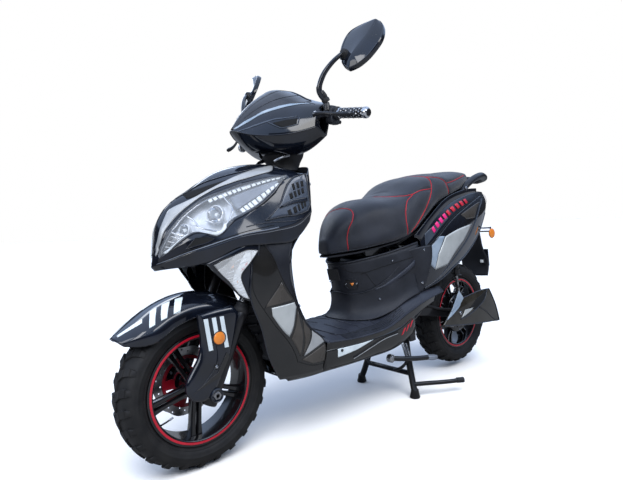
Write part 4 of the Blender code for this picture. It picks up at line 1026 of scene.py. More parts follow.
# ---------------------------------------------------------------- front body
LENS_EDGES = [(0.5, 4.72, 5.2), (0.9, 4.21, 5.08), (1.4, 4.14, 4.91), (1.83, 4.1, 4.85), (2.2, 4.04, 4.8),
    (2.68, 3.98, 4.74), (2.94, 3.94, 4.84), (3.06, 3.92, 5.12), (3.3, 3.88, 5.46), (3.51, 3.85, 5.36),
    (3.91, 3.81, 4.98), (4.2, 3.82, 4.91), (4.48, 3.9, 4.95), (4.88, 3.97, 5.02), (5.2, 4.01, 5.07),
    (5.53, 4.03, 5.09), (5.85, 4.05, 5.0), (6.05, 4.15, 4.75)]
STRIP_EDGES = [(0.3, 4.45, 4.7), (0.6, 4.02, 4.42), (0.95, 3.66, 4.12), (1.5, 3.6, 4.0), (2.0, 3.57, 3.92),
    (2.6, 3.45, 3.86), (3.05, 3.36, 3.82), (3.5, 3.53, 3.77), (4.04, 3.63, 3.73), (4.48, 3.69, 3.77),
    (4.84, 3.71, 3.84), (5.25, 3.67, 3.88), (5.8, 3.58, 3.82), (6.6, 3.5, 3.56)]


LAMP_BEZEL = [(0.75, 4.66, 5.02), (1.4, 4.7, 4.88), (1.8, 4.69, 4.82), (2.5, 4.6, 4.72), (2.9, 4.66, 4.8),
    (3.1, 4.88, 5.08), (3.3, 5.06, 5.4), (3.5, 5.05, 5.32), (3.9, 4.82, 4.95), (4.4, 4.9, 4.93)]
LAMP_ARCS = [
    [(3.95, 4.55), (4.21, 4.52), (4.58, 4.44), (4.8, 4.12), (5.13, 3.56)],
    [(4.0, 3.4), (4.3, 3.35), (4.62, 3.2), (4.8, 3.3), (4.98, 3.42)],
    [(4.1, 2.2), (4.34, 2.22), (4.58, 2.34)],
]
VENT_SLOTS = [(5.14, 5.28, (6.2, 6.42, 6.64)), (5.31, 5.44, (5.98, 6.18, 6.39, 6.6)),
    (5.62, 5.76, (5.74, 5.95, 6.17, 6.4, 6.58))]


def in_lens(u, v):
    if not LENS_EDGES[0][0] < v < LENS_EDGES[-1][0]:
        return False
    u = u if u > 3.0 else 6.0 - u
    top, low = ramp(LENS_EDGES, v)
    return top + 0.03 < u < low - 0.03


def lens_sheet(depth, inset, bulge):
    """A sheet under the headlamp opening: depth is how far it lies inside the cowl."""
    rows = []
    for share in (0.0, 0.33, 0.67, 1.0):
        row = []
        for v, top, low in LENS_EDGES:
            u = top + inset + (low - top - 2 * inset) * share
            rise = bulge * math.sin(math.pi * share) - depth
            row.append(COWL.at(u, v, rise) - X_AXIS * depth * 0.4)
        rows.append(row)
    return Surface(rows, (0.5, 0.0, 0.66), fine=6)


def build_cowl():
    COWL.skin("front_cowl_shell", "gloss", 0.003, hole=in_lens, replaces=("front_cowl",), mirrored=False)
    CHIN.skin("cowl_chin", "gloss", 0.003)
    COWL.band("cowl_strip", STRIP_EDGES, "silver", 0.001, 0.0022, cross=6, crown=0.0012)
    # painted shade: the dark band stands in for the shade inside the slit
    slit = [(3.72, 3.02, 3.46), (3.9, 3.1, 3.58), (4.16, 3.38, 3.63), (4.58, 3.59, 3.67), (4.9, 3.69, 3.7)]
    COWL.band("cowl_slit", slit, "dark", 0.0006, 0.0006)
    COWL.seam("cowl_bonnet_edge", [(3.02, 3.5), (3.2, 4.26), (3.46, 4.77), (3.57, 5.3), (3.52, 6.2),
        (3.5, 7.0)], 0.0018, "gloss", 0.001)
    COWL.seam("cowl_spine", [(3.0, 0.6), (3.0, 2.0), (3.0, 4.0)], 0.0016, "gloss", 0.0006, mirrored=False)
    # painted highlight: the grey band along the lip edge stands in for the highlight along that edge
    lip = [(0.3, 5.8, 5.9), (0.9, 5.84, 5.92), (2.16, 5.9, 5.97), (3.19, 5.84, 5.92), (4.04, 5.88, 5.93),
        (5.2, 5.92, 5.96)]
    COWL.band("cowl_lip_line", lip, "grey", 0.001, 0.0014, cross=2)
    COWL.seam("cowl_lip_gap", [(5.72, 0.4), (5.76, 1.4), (5.79, 2.6), (5.75, 4.0), (5.82, 5.1)], 0.0012,
        "dark", 0.0)
    # painted shade: the dark patch stands in for the shade in the recess
    recess = [(5.57, 1.9), (4.98, 2.48), (5.22, 2.98), (5.56, 3.16), (5.66, 2.8)]
    COWL.patch("cowl_recess", recess, "dark", 0.0006, 0.0006)
    COWL.seam("cowl_recess_edge", recess + recess[:1], 0.0011, "gloss", 0.001, smooth=False)
    COWL.seam("cowl_lens_seam", [(4.86, 6.15), (4.98, 6.5), (5.02, 7.0)], 0.0009, "dark")
    COWL.seam("cowl_crease", [(5.5, 4.3), (5.62, 4.8), (5.86, 5.6), (5.94, 6.2)], 0.0016, "gloss", 0.0004)
    liner = Surface(mm([[(802, 0, 597), (764, 52, 603), (724, 84, 608), (682, 112, 620), (622, 146, 650)],
        [(740, 0, 606), (720, 50, 606), (694, 82, 604), (664, 108, 604), (616, 146, 606)], [(665, 0, 596),
        (660, 45, 594), (650, 80, 588), (642, 108, 575), (612, 148, 545)]]), (0.6, 0.0, 0.75), fine=8)
    liner.skin("nose_liner", "matte", 0.002, mirrored=True)


def build_vent():
    # painted reflection: the gloss black panel round the vent slots is drawn in blue-grey, standing in for the
    # light it reflects
    plate = [(5.57, 4.95), (5.37, 5.62), (5.1, 5.98), (4.98, 6.4), (4.92, 6.92), (5.8, 6.92), (5.88, 6.66),
        (5.8, 5.91)]
    COWL.patch("cowl_vent_plate", plate, "blue", 0.0008, 0.001)
    COWL.seam("cowl_vent_frame", plate + plate[:1], 0.0024, "gloss", 0.0016, smooth=False)
    # painted shade: each slot is a dark patch standing in for the shade inside the opening
    for row, (top, low, places) in enumerate(VENT_SLOTS):
        for column, v in enumerate(places):
            slot = [(top, v - 0.05), (top, v + 0.07), (low, v + 0.06), (low, v - 0.06)]
            COWL.patch("cowl_vent_slot_%d_%d" % (row, column), slot, "dark", 0.0018, 0.0006, rings=2,
                fine=2)
    fin = [(5.5, 5.44, 5.48), (5.8, 5.44, 5.53), (6.3, 5.5, 5.6), (6.76, 5.55, 5.66)]
    COWL.band("cowl_vent_fin", fin, "gloss", 0.0026, 0.004)


def lamp_dish(name, u, v, radius, depth):
    """A round reflector with its rim and bulb, sunk behind a place on the cowl."""
    facing = (COWL.normal(u, v) + X_AXIS * 1.6 + Y_AXIS * 0.5).normalized()
    centre = COWL.at(u, v, -depth)
    dish = [(radius, 0.01), (radius * 0.94, 0.007), (radius * 0.75, -0.002), (radius * 0.5, -0.009),
        (radius * 0.25, -0.012), (0.0, -0.013)]
    turned(name, dish, centre, facing, "chrome", "chassis", 40, mirrored=True)
    rim = [(radius * 0.98, 0.008), (radius * 1.02, 0.012), (radius * 1.12, 0.01), (radius * 1.14, -0.002)]
    turned(name + "_rim", rim, centre, facing, "mirror", "chassis", 40, mirrored=True)
    bulb = mm([(0, 6), (5, 4), (6.8, -1), (5.8, -8), (0, -11)])
    turned(name + "_bulb", bulb, centre, facing, "pearl", "chassis", 24, mirrored=True)


def build_headlamp():
    cover = lens_sheet(-0.001, 0.0, 0.005)
    cover.skin("headlight_cover", "lens", 0.0022, mirrored=True, replaces=("headlight_lens",))
    bowl = lens_sheet(0.026, -0.02, -0.004)
    bowl.skin("headlight_bowl", "mirror", 0.0015, mirrored=True, replaces=("headlight_unit",))
    above = [(v, top - 0.025, top + 0.07) for v, top, _ in LENS_EDGES]
    COWL.band("headlight_frame_top", above, "gloss", 0.0006, 0.0014, cross=2)
    below = [(v, low - 0.075, low + 0.03) for v, _, low in LENS_EDGES]
    COWL.band("headlight_frame_low", below, "gloss", 0.0006, 0.0014, cross=2)
    skirt = [(v, top + 0.02, top + 0.1) for v, top, _ in LENS_EDGES]
    COWL.band("headlight_trim_top", skirt, "chrome", -0.005, 0.0012, cross=2)
    COWL.band("headlight_bezel", LAMP_BEZEL, "pearl", -0.006, 0.002, cross=4, crown=0.002)
    for i in range(15):
        v = 4.22 + 0.112 * i
        top = ramp(LENS_EDGES, v)[0] + 0.09
        cell = [(top, v), (top, v + 0.085), (top + 0.13, v + 0.075), (top + 0.13, v - 0.01)]
        COWL.patch("headlight_brow_%02d" % i, cell, "pearl", -0.006, 0.003, rings=2, fine=2)
    for i in range(9):
        v = 4.56 + 0.138 * i
        cell = [(4.72, v), (4.72, v + 0.105), (4.93, v + 0.105), (4.93, v)]
        COWL.patch("headlight_tail_%02d" % i, cell, "pearl", -0.006, 0.003, rings=2, fine=2)
    wing = [(4.2, 4.62), (4.3, 5.8), (4.66, 5.78), (4.66, 4.52)]
    COWL.patch("headlight_wing", wing, "grey", -0.011, 0.002)
    for i, route in enumerate(LAMP_ARCS):
        COWL.seam("headlight_arc_%d" % i, route, 0.0024, "chrome", -0.007)
    lamp_dish("headlight_main_dish", 4.42, 4.08, 0.0245, 0.016)
    lamp_dish("headlight_side_dish", 4.36, 2.78, 0.0165, 0.014)
    for i in range(7):
        v = 1.1 + 0.42 * i
        COWL.seam("headlight_flute_%d" % i, [(4.26, v), (4.4, v + 0.05), (4.58, v + 0.12)], 0.0016,
            "mirror", -0.013)


SIGNAL_LENS = mm([
    [(690, 113, 604), (640, 143, 624), (600, 160, 640), (567, 169, 636)],
    [(668, 129, 570), (640, 147, 578), (616, 159, 588), (596, 166, 602)],
    [(650, 139, 548), (642, 146, 547), (632, 152, 556), (623, 157.5, 565)],
    [(640, 145, 530), (633, 150, 525), (624, 155.5, 524), (614, 161, 528)],
    [(628, 151, 512), (620, 155, 505), (612, 159.5, 500), (602, 165, 496)],
])
SIGNAL_BEZEL = mm([
    [(705, 104, 606), (650, 137, 632), (600, 155, 656), (560, 166, 668)],
    [(675, 121, 566), (632, 146, 585), (600, 157.5, 600), (565, 166.5, 600)],
    [(652, 133, 540), (625, 149, 545), (603, 157.5, 550), (570, 166.5, 550)],
    [(626, 146, 506), (615, 152, 499), (604, 157.5, 492), (570, 168, 488)],
])


def build_signals():
    lens = Surface(SIGNAL_LENS, (0.5, 0.0, 0.55), fine=8)
    lens.skin("turn_signal_cover", "glass", 0.0016, mirrored=True, replaces=("turn_signal_left",
        "turn_signal_right"))
    back = [[Vector(p) - Vector((0.0035, 0.0035, 0.0)) for p in row] for row in SIGNAL_LENS]
    inner = Surface(back, (0.5, 0.0, 0.55), fine=8)
    inner.skin("turn_signal_bowl", "pearl", 0.001, mirrored=True)
    bezel = Surface(SIGNAL_BEZEL, (0.5, 0.0, 0.55), fine=8)
    bezel.skin("turn_signal_bezel", "gloss", 0.002, mirrored=True)
    for i in range(15):
        u = 0.14 + 0.265 * i
        look = "mirror" if i % 2 else "chrome"
        inner.seam("turn_signal_rib_%02d" % i, [(u, 0.1), (u, 1.5), (u, 2.9)], 0.0011, look, 0.0006,
            mirrored=True)
    for i, (u, v, look) in enumerate(((0.85, 2.2, "red"), (1.1, 1.95, "red"), (2.15, 1.8, "amber"),
            (0.62, 0.85, "amber"))):
        glint = [(u - 0.1, v - 0.13), (u - 0.1, v + 0.13), (u + 0.1, v + 0.13), (u + 0.1, v - 0.13)]
        inner.patch("turn_signal_glint_%d" % i, glint, look, 0.0012, 0.0008, mirrored=True, rings=2, fine=2)
    edge = [(0.0, 0.0), (0.0, 3.0), (1.0, 3.0), (2.0, 3.0), (3.0, 3.0), (4.0, 3.0), (4.0, 0.0), (3.0, 0.0),
        (2.0, 0.0), (1.0, 0.0), (0.0, 0.0)]
    lens.seam("turn_signal_gasket", edge, 0.0013, "soft", mirrored=True, smooth=False)


def build_shields():
    SHIELD.skin("leg_shield_shell", "facet", 0.003, replaces=("leg_shield_left", "leg_shield_right"))
    patches = [
        ("leg_shield_strip", [(0.05, 0.65), (0.58, 0.95), (1.1, 1.55), (1.51, 2.23), (2.0, 2.95),
            (1.0, 2.97), (0.05, 2.97)], "satin"),
        ("leg_shield_bronze", [(1.56, 2.08), (2.04, 2.8), (2.2, 1.8), (2.35, 0.74)], "brown"),
        ("leg_shield_silver", [(2.36, 1.14), (2.12, 2.86), (2.28, 2.88), (3.42, 1.48), (2.62, 1.04)],
            "pale"),
        ("leg_shield_shade_1", [(2.4, 2.9), (3.5, 1.54), (4.26, 1.62), (3.72, 1.95), (3.19, 2.4)], "brown"),
        ("leg_shield_shade_2", [(2.74, 2.96), (3.14, 2.97), (4.26, 1.72), (3.4, 2.32)], "brown"),
        ("leg_shield_pale", [(3.26, 2.97), (3.98, 2.97), (4.28, 1.78)], "silver"),
        ("leg_shield_foot", [(4.08, 2.97), (4.66, 2.97), (4.62, 2.2), (4.4, 1.66)], "brown"),
    ]
    for name, corners, look in patches:
        SHIELD.patch(name, corners, look, 0.0006, 0.0012)
    for i, route in enumerate(([(0.58, 0.95), (1.1, 1.55), (1.51, 2.23), (2.03, 2.97)], [(1.52, 2.1),
            (1.95, 1.4), (2.4, 0.66)], [(1.16, 0.05), (1.7, 0.15), (2.4, 0.62), (3.45, 1.3), (4.45, 1.45)],
            [(4.45, 1.5), (4.66, 2.1), (4.72, 2.97)])):
        SHIELD.seam("leg_shield_gap_%d" % i, route, 0.001, "dark", 0.0004)
    edge = [(0.03, 2.985), (1.0, 2.985), (2.0, 2.985), (3.0, 2.985), (4.0, 2.985)]
    SHIELD.seam("leg_shield_rim", edge, 0.0024, "satin", 0.0)
    front = [(0.05, 0.02), (1.0, 0.02), (2.0, 0.02), (3.0, 0.02), (4.0, 0.02), (4.9, 0.02)]
    SHIELD.seam("leg_shield_front_rim", front, 0.0024, "gloss", 0.0)
    INNER.skin("inner_shield_shell", "satin", 0.0025, replaces=("inner_leg_shield",))
    pocket = [(0.9, 2.5), (0.9, 3.6), (2.0, 3.6), (2.0, 2.5)]
    INNER.seam("inner_shield_pocket", pocket + pocket[:1], 0.0016, "dark", 0.0005)
    INNER.patch("inner_shield_pocket_lid", [(0.95, 2.55), (0.95, 3.55), (1.95, 3.55), (1.95, 2.55)],
        "matte", 0.0008, 0.002)
    for i, (u, v) in enumerate(((0.35, 0.6), (0.35, 3.4), (3.4, 0.7), (3.4, 3.3))):
        bolt("inner_shield_screw_%d" % i, INNER.at(u, v), INNER.normal(u, v), 0.005, "zinc", "chassis")
    lock = INNER.at(0.66, 1.3)
    turned("key_escutcheon", mm([(10, 3.5), (15, 3.5), (17, 1), (17, -4)]),
        Vector((lock.x - 0.001, -0.08, 0.8)), INNER.normal(0.66, 1.3), "zinc", "chassis", 32)
    GUARD.skin("inner_fender_shell", "matte", 0.003, replaces=("inner_fender",))
    for i in range(7):
        z = 0.3 + 0.034 * i
        rib = [(0.431, 0.06, z), (0.438, 0.085, z - 0.006), (0.452, 0.128, z - 0.012)]
        cable("inner_fender_rib_%d" % i, smooth_line(rib, 4), 0.0042, "satin", "chassis", mirrored=True)
    funnel = mm([(11.5, 0.5), (15, 3), (17, 1), (17, -4)])
    turned("inner_fender_port", funnel, (0.455, 0.105, 0.505), (0.9, 0.35, 0.0), "satin", "chassis", 32,
        mirrored=True)


# ---------------------------------------------------------------- floor and seat tower
def build_floor():
    def behind_seat(u, v):
        return u > 3.0 and 1.0 < v < 5.0

    BOARD.skin("footboard_shell", "floor", 0.004, hole=behind_seat, replaces=("footboard",), mirrored=False)
    SKIRT.skin("skirt_shell", "facet", 0.003, replaces=("floor_skirt",), mirrored=False)
    for i in range(6):
        v = 5.14 + 0.13 * i
        BOARD.seam("foot_groove_%d" % i, [(0.45, v), (1.0, v), (2.3, v), (2.9, v + 0.02)], 0.0014, "satin",
            0.0006)
    for i in range(8):
        u = 0.35 + 0.33 * i
        BOARD.seam("foot_rib_%d" % i, [(u, 3.18), (u, 3.9), (u + 0.05, 4.7), (u + 0.02, 5.0)], 0.0017,
            "floor", 0.0008)
    BOARD.seam("foot_mat_line", [(0.3, 3.0), (0.34, 3.8), (0.5, 5.05), (1.2, 5.5), (2.2, 5.6), (2.8, 5.2)],
        0.0009, "dark", 0.0004)
    for i in range(4):
        route = [(3.55 + 0.05 * i, 4.25 + 0.24 * i), (3.95, 4.3 + 0.22 * i), (4.3, 4.34 + 0.18 * i),
            (4.55, 4.36 + 0.15 * i)]
        BOARD.seam("passenger_rib_%d" % i, route, 0.0034, "floor", 0.0012)
    apron = mm([
        [(322, 178, 318), (135, 186, 310), (20, 185, 318), (-90, 181, 350), (-200, 177, 380),
            (-300, 166, 396)],
        [(322, 172, 292), (135, 181, 290), (20, 180, 296), (-90, 176, 318), (-200, 170, 350),
            (-300, 158, 372)],
    ])
    Surface(apron, (0.0, 0.0, 0.32), fine=8).skin("footboard_apron", "facet", 0.003, mirrored=True)
    rail = [(0.02, 5.97), (1.0, 5.97), (2.0, 5.97), (3.0, 5.97), (4.0, 5.97), (4.95, 5.97)]
    BOARD.seam("footboard_rail", rail, 0.003, "floor", 0.0006)
    SKIRT.patch("skirt_wedge", [(2.21, 5.93), (2.97, 5.94), (2.58, 5.72), (2.21, 5.6)], "white", 0.0008,
        0.001)
    bolt("skirt_plug", SKIRT.at(2.29, 5.85, 0.001), SKIRT.normal(2.29, 5.85), 0.0052, "soft", "chassis",
        mirrored=True)
    # painted shade: the dark bead stands in for the shade inside the slot
    slot = [(2.55, 5.38, 5.44), (3.0, 5.68, 5.8), (3.4, 5.82, 5.92), (3.8, 5.84, 5.86)]
    points = [(u, (a + b) / 2) for u, a, b in slot]
    SKIRT.seam("skirt_slot", points, 0.003, "dark", 0.0004)
    SKIRT.seam("skirt_slot_edge", [(u, v - 0.06) for u, v in points], 0.0014, "silver", 0.0014)
    for i in range(3):
        u = 3.95 + 0.3 * i
        slash = [(u, 5.6), (u + 0.1, 5.6), (u + 0.32, 5.8), (u + 0.16, 5.8)]
        SKIRT.patch("skirt_slash_%d" % i, slash, "red", 0.0008, 0.0006)
    SKIRT.seam("skirt_belly_line", [(2.1, 5.12), (3.0, 5.1), (4.0, 5.1), (4.9, 5.1)], 0.0012, "dark",
        0.0002)


def build_tower():
    TOWER.skin("seat_tower_shell", "matte", 0.003, replaces=("under_seat_cover",), mirrored=False)
    TOWER.seam("tower_line", [(0.16, 5.6), (0.42, 6.3), (0.5, 6.9), (0.85, 7.2), (1.1, 7.45)], 0.0008,
        "dark", 0.0004)
    TOWER.seam("tower_upper_groove", [(0.52, 6.67), (0.43, 7.57), (0.38, 8.69), (0.37, 9.55)], 0.0013,
        "dark", 0.0004)
    # partly painted highlight: the raised ridge is real, its lighter bluish colour stands in for a highlight
    # along the swoosh
    ridge = [(7.25, 1.1, 1.2), (7.83, 0.97, 1.09), (8.74, 0.7, 0.86), (9.6, 0.46, 0.62)]
    TOWER.band("tower_ridge", ridge, "floor", 0.001, 0.004, cross=4, crown=0.003)
    port = [(0.7, 5.72), (0.66, 6.0), (0.68, 6.34), (0.82, 6.48), (1.02, 6.4), (1.04, 5.92), (0.86, 5.64)]
    TOWER.patch("charge_bezel", port, "soft", 0.0012, 0.0016, mirrored=False)
    TOWER.seam("charge_bezel_edge", port + port[:1], 0.0012, "satin", 0.0024, smooth=False, mirrored=False)
    mark = [(0.8, 6.05), (0.8, 6.26), (0.93, 6.16)]
    TOWER.patch("charge_mark", mark, "amber", 0.003, 0.0006, rings=2, fine=2, mirrored=False)
    for i, (u, v) in enumerate(((0.84, 5.76), (0.84, 6.38), (0.3, 8.3))):
        bolt("tower_screw_%d" % i, TOWER.at(u, v, 0.0024), TOWER.normal(u, v), 0.0034, "zinc", "chassis",
            mirrored=True)
    collar = Surface(both_columns(mm([[(101, 0, 446), (90, 50, 438), (33, 100, 448), (-48, 134.5, 494),
        (-100, 146, 540), (-175, 152, 575)], [(96, 0, 405), (83, 54, 405), (28, 104, 412), (-50, 138, 448),
        (-110, 148, 485), (-180, 154, 520)], [(106, 0, 362), (93, 60, 362), (35, 112, 366), (-43, 145, 392),
        (-115, 154, 424), (-190, 158, 450)], [(122, 0, 345), (108, 66, 345), (48, 124, 346),
        (-35, 154, 368), (-115, 164, 400), (-195, 166, 420)]])), (-0.1, 0.0, 0.4), fine=8)
    collar.skin("tower_collar", "matte", 0.003)
    collar.seam("tower_collar_rim", [(0.02, 0.1), (0.02, 2.5), (0.02, 5.0), (0.02, 7.5), (0.02, 9.9)],
        0.0022, "satin", 0.0004)
    for side in (2.6, 7.4):
        bolt("tower_collar_screw_%d" % side, collar.at(1.2, side), collar.normal(1.2, side), 0.005, "zinc",
            "chassis")
    lip = [(0.03, 5.0), (0.03, 6.0), (0.03, 7.0), (0.03, 8.0), (0.03, 9.9)]
    TOWER.seam("tower_top_rim", lip, 0.004, "satin", 0.0)
    # the matte shoulder panel that runs from the passenger footrest up to the seat, and its screws
    rows = mm([
        [(-140, 153.5, 590), (-200, 169, 600), (-262, 177.5, 604)],
        [(-160, 152, 540), (-212, 174.5, 550), (-258, 180, 556)],
        [(-175, 142, 450), (-215, 168, 480), (-241, 178, 500)],
        [(-150, 132, 385), (-190, 152, 405), (-216, 160, 425)],
    ])
    shoulder = Surface(rows, (-0.2, 0.0, 0.5), fine=8)
    shoulder.skin("tower_shoulder", "matte", 0.003, mirrored=True)
    edge = [(0.0, 2.0), (1.0, 2.0), (2.0, 2.0), (3.0, 2.0)]
    shoulder.seam("tower_shoulder_edge", edge, 0.0022, "satin", 0.0, mirrored=True)
    for i, (u, v) in enumerate(((0.3, 1.25), (2.35, 1.1))):
        bolt("tower_shoulder_screw_%d" % i, shoulder.at(u, v), shoulder.normal(u, v), 0.005, "zinc",
            "chassis", mirrored=True)


# ---------------------------------------------------------------- seat
SEAT_SEAMS = {
    "front": [(2.2, 5.0), (2.16, 5.5), (2.06, 6.44), (1.81, 7.11), (1.47, 7.6), (1.32, 8.22), (1.42, 9.2)],
    "step": [(4.55, 5.0), (4.4, 5.86), (4.85, 6.52), (5.41, 7.09), (5.9, 7.33), (6.62, 7.69)],
    "inner": [(5.39, 7.1), (4.93, 7.16), (4.54, 7.64), (4.45, 8.27), (4.58, 9.07)],
    "arc": [(4.6, 9.2), (5.29, 8.75), (6.06, 8.48), (6.53, 8.1), (6.74, 7.51), (6.8, 6.87), (6.85, 5.0)],
    "pillion": [(6.85, 6.6), (7.1, 6.86), (7.35, 7.09), (7.61, 7.54), (7.69, 8.04), (7.81, 9.1)],
    "rear": [(7.74, 7.73), (8.15, 7.71), (8.93, 7.56), (9.6, 7.3)],
}
SEAM_STEPS = 10


def seam_points(route, flip=False):
    flat = smooth_line([(u, v, 0.0) for u, v in route], SEAM_STEPS)
    points = [SEAT.at(spot.x, spot.y) for spot in flat]
    return [across(point) for point in points] if flip else points


def pillow_out(piece, seams, cap, frames=20):
    """Blow the stuffed panels out a little between their seams, as a cloth under pressure."""
    pins = piece.vertex_groups.new(name="pins")
    for vertex in piece.data.vertices:
        nearest = min(((vertex.co - point).length for point in seams))
        under = vertex.normal.z < -0.5
        weight = 1.0 if under else max(0.0, 1.0 - nearest / 0.012)
        if weight > 0.02:
            pins.add([vertex.index], weight, "REPLACE")
    start = [vertex.co.copy() for vertex in piece.data.vertices]
    cloth = piece.modifiers.new("cloth", "CLOTH")
    cloth.settings.quality = 5
    cloth.settings.mass = 0.3
    cloth.settings.tension_stiffness = 25
    cloth.settings.compression_stiffness = 25
    cloth.settings.shear_stiffness = 12
    cloth.settings.bending_stiffness = 4.0
    cloth.settings.use_pressure = True
    cloth.settings.uniform_pressure_force = 4.0
    cloth.settings.effector_weights.gravity = 0.0
    cloth.settings.vertex_group_mass = "pins"
    cloth.point_cache.frame_start = 1
    cloth.point_cache.frame_end = frames
    scene = bpy.context.scene
    for number in range(1, frames + 1):
        scene.frame_set(number)
        bpy.context.view_layer.update()
    posed = piece.evaluated_get(bpy.context.evaluated_depsgraph_get())
    mesh = bpy.data.meshes.new_from_object(posed)
    piece.modifiers.clear()
    piece.data = mesh
    for vertex, before in zip(mesh.vertices, start):
        move = vertex.co - before
        if move.length > cap:
            vertex.co = before + move.normalized() * cap
    scene.frame_set(1)


def sink_seams(piece, seams, depth, width):
    """Press a soft groove along each seam and let the panels between them crown."""
    for vertex in piece.data.vertices:
        if vertex.normal.z < -0.6:
            continue
        nearest = min(((vertex.co - point).length for point in seams))
        groove = math.exp(-(nearest / width) ** 2)
        swell = min(nearest / 0.07, 1.0)
        vertex.co += vertex.normal * (-depth * groove + 0.0022 * swell * (2.0 - swell) - 0.0008)


def build_seat():
    sections = []
    for line in SEAT.points:
        middle = sum(line, Vector()) / len(line)
        sections.append([middle + (point - middle) * 0.992 for point in line])
    for index, shift in ((0, 0.006), (-1, -0.008)):
        ring = sections[index]
        middle = sum(ring, Vector()) / len(ring)
        ends = [[middle + (p - middle) * scale + X_AXIS * shift * rise for p in ring] for scale,
            rise in ((0.94, 0.55), (0.78, 0.88), (0.5, 1.0))]
        if index == 0:
            sections = ends[::-1] + sections
        else:
            sections = sections + ends
    piece = lofted("seat_cushion_cover", sections, "vinyl", "seat", replaces=("seat_cushion",))
    remesh = piece.modifiers.new("remesh", "REMESH")
    remesh.mode = "VOXEL"
    remesh.voxel_size = 0.0065
    even = piece.modifiers.new("even", "SMOOTH")
    even.iterations = 4
    bpy.context.view_layer.update()
    made = piece.evaluated_get(bpy.context.evaluated_depsgraph_get())
    mesh = bpy.data.meshes.new_from_object(made)
    piece.modifiers.clear()
    piece.data = mesh
    mesh.materials.clear()
    mesh.materials.append(PAINT["vinyl"])
    seams = []
    for route in SEAT_SEAMS.values():
        seams.extend(seam_points(route) + seam_points(route, True))
    pillow_out(piece, seams, 0.006)
    sink_seams(piece, seams, 0.003, 0.0065)
    for face in piece.data.polygons:
        face.use_smooth = True
    finer = piece.modifiers.new("finer", "SUBSURF")
    finer.levels = 1
    finer.render_levels = 1
    bpy.context.view_layer.update()
    for name, route in SEAT_SEAMS.items():
        for flip, word in FLIPS:
            line = []
            for point in seam_points(route, flip):
                _, spot, normal, _ = piece.closest_point_on_mesh(point)
                line.append(spot + normal * 0.0006)
            cable("seat_piping_%s_%s" % (name, word), line, 0.0015, "piping", "seat")
    hem = [(0.1 + 0.49 * i, 9.0) for i in range(21)]
    for flip, word in FLIPS:
        line = []
        for point in seam_points(hem, flip):
            _, spot, normal, _ = piece.closest_point_on_mesh(point)
            line.append(spot + normal * 0.0004)
        cable("seat_hem_" + word, line, 0.0022, "vinyl", "seat")


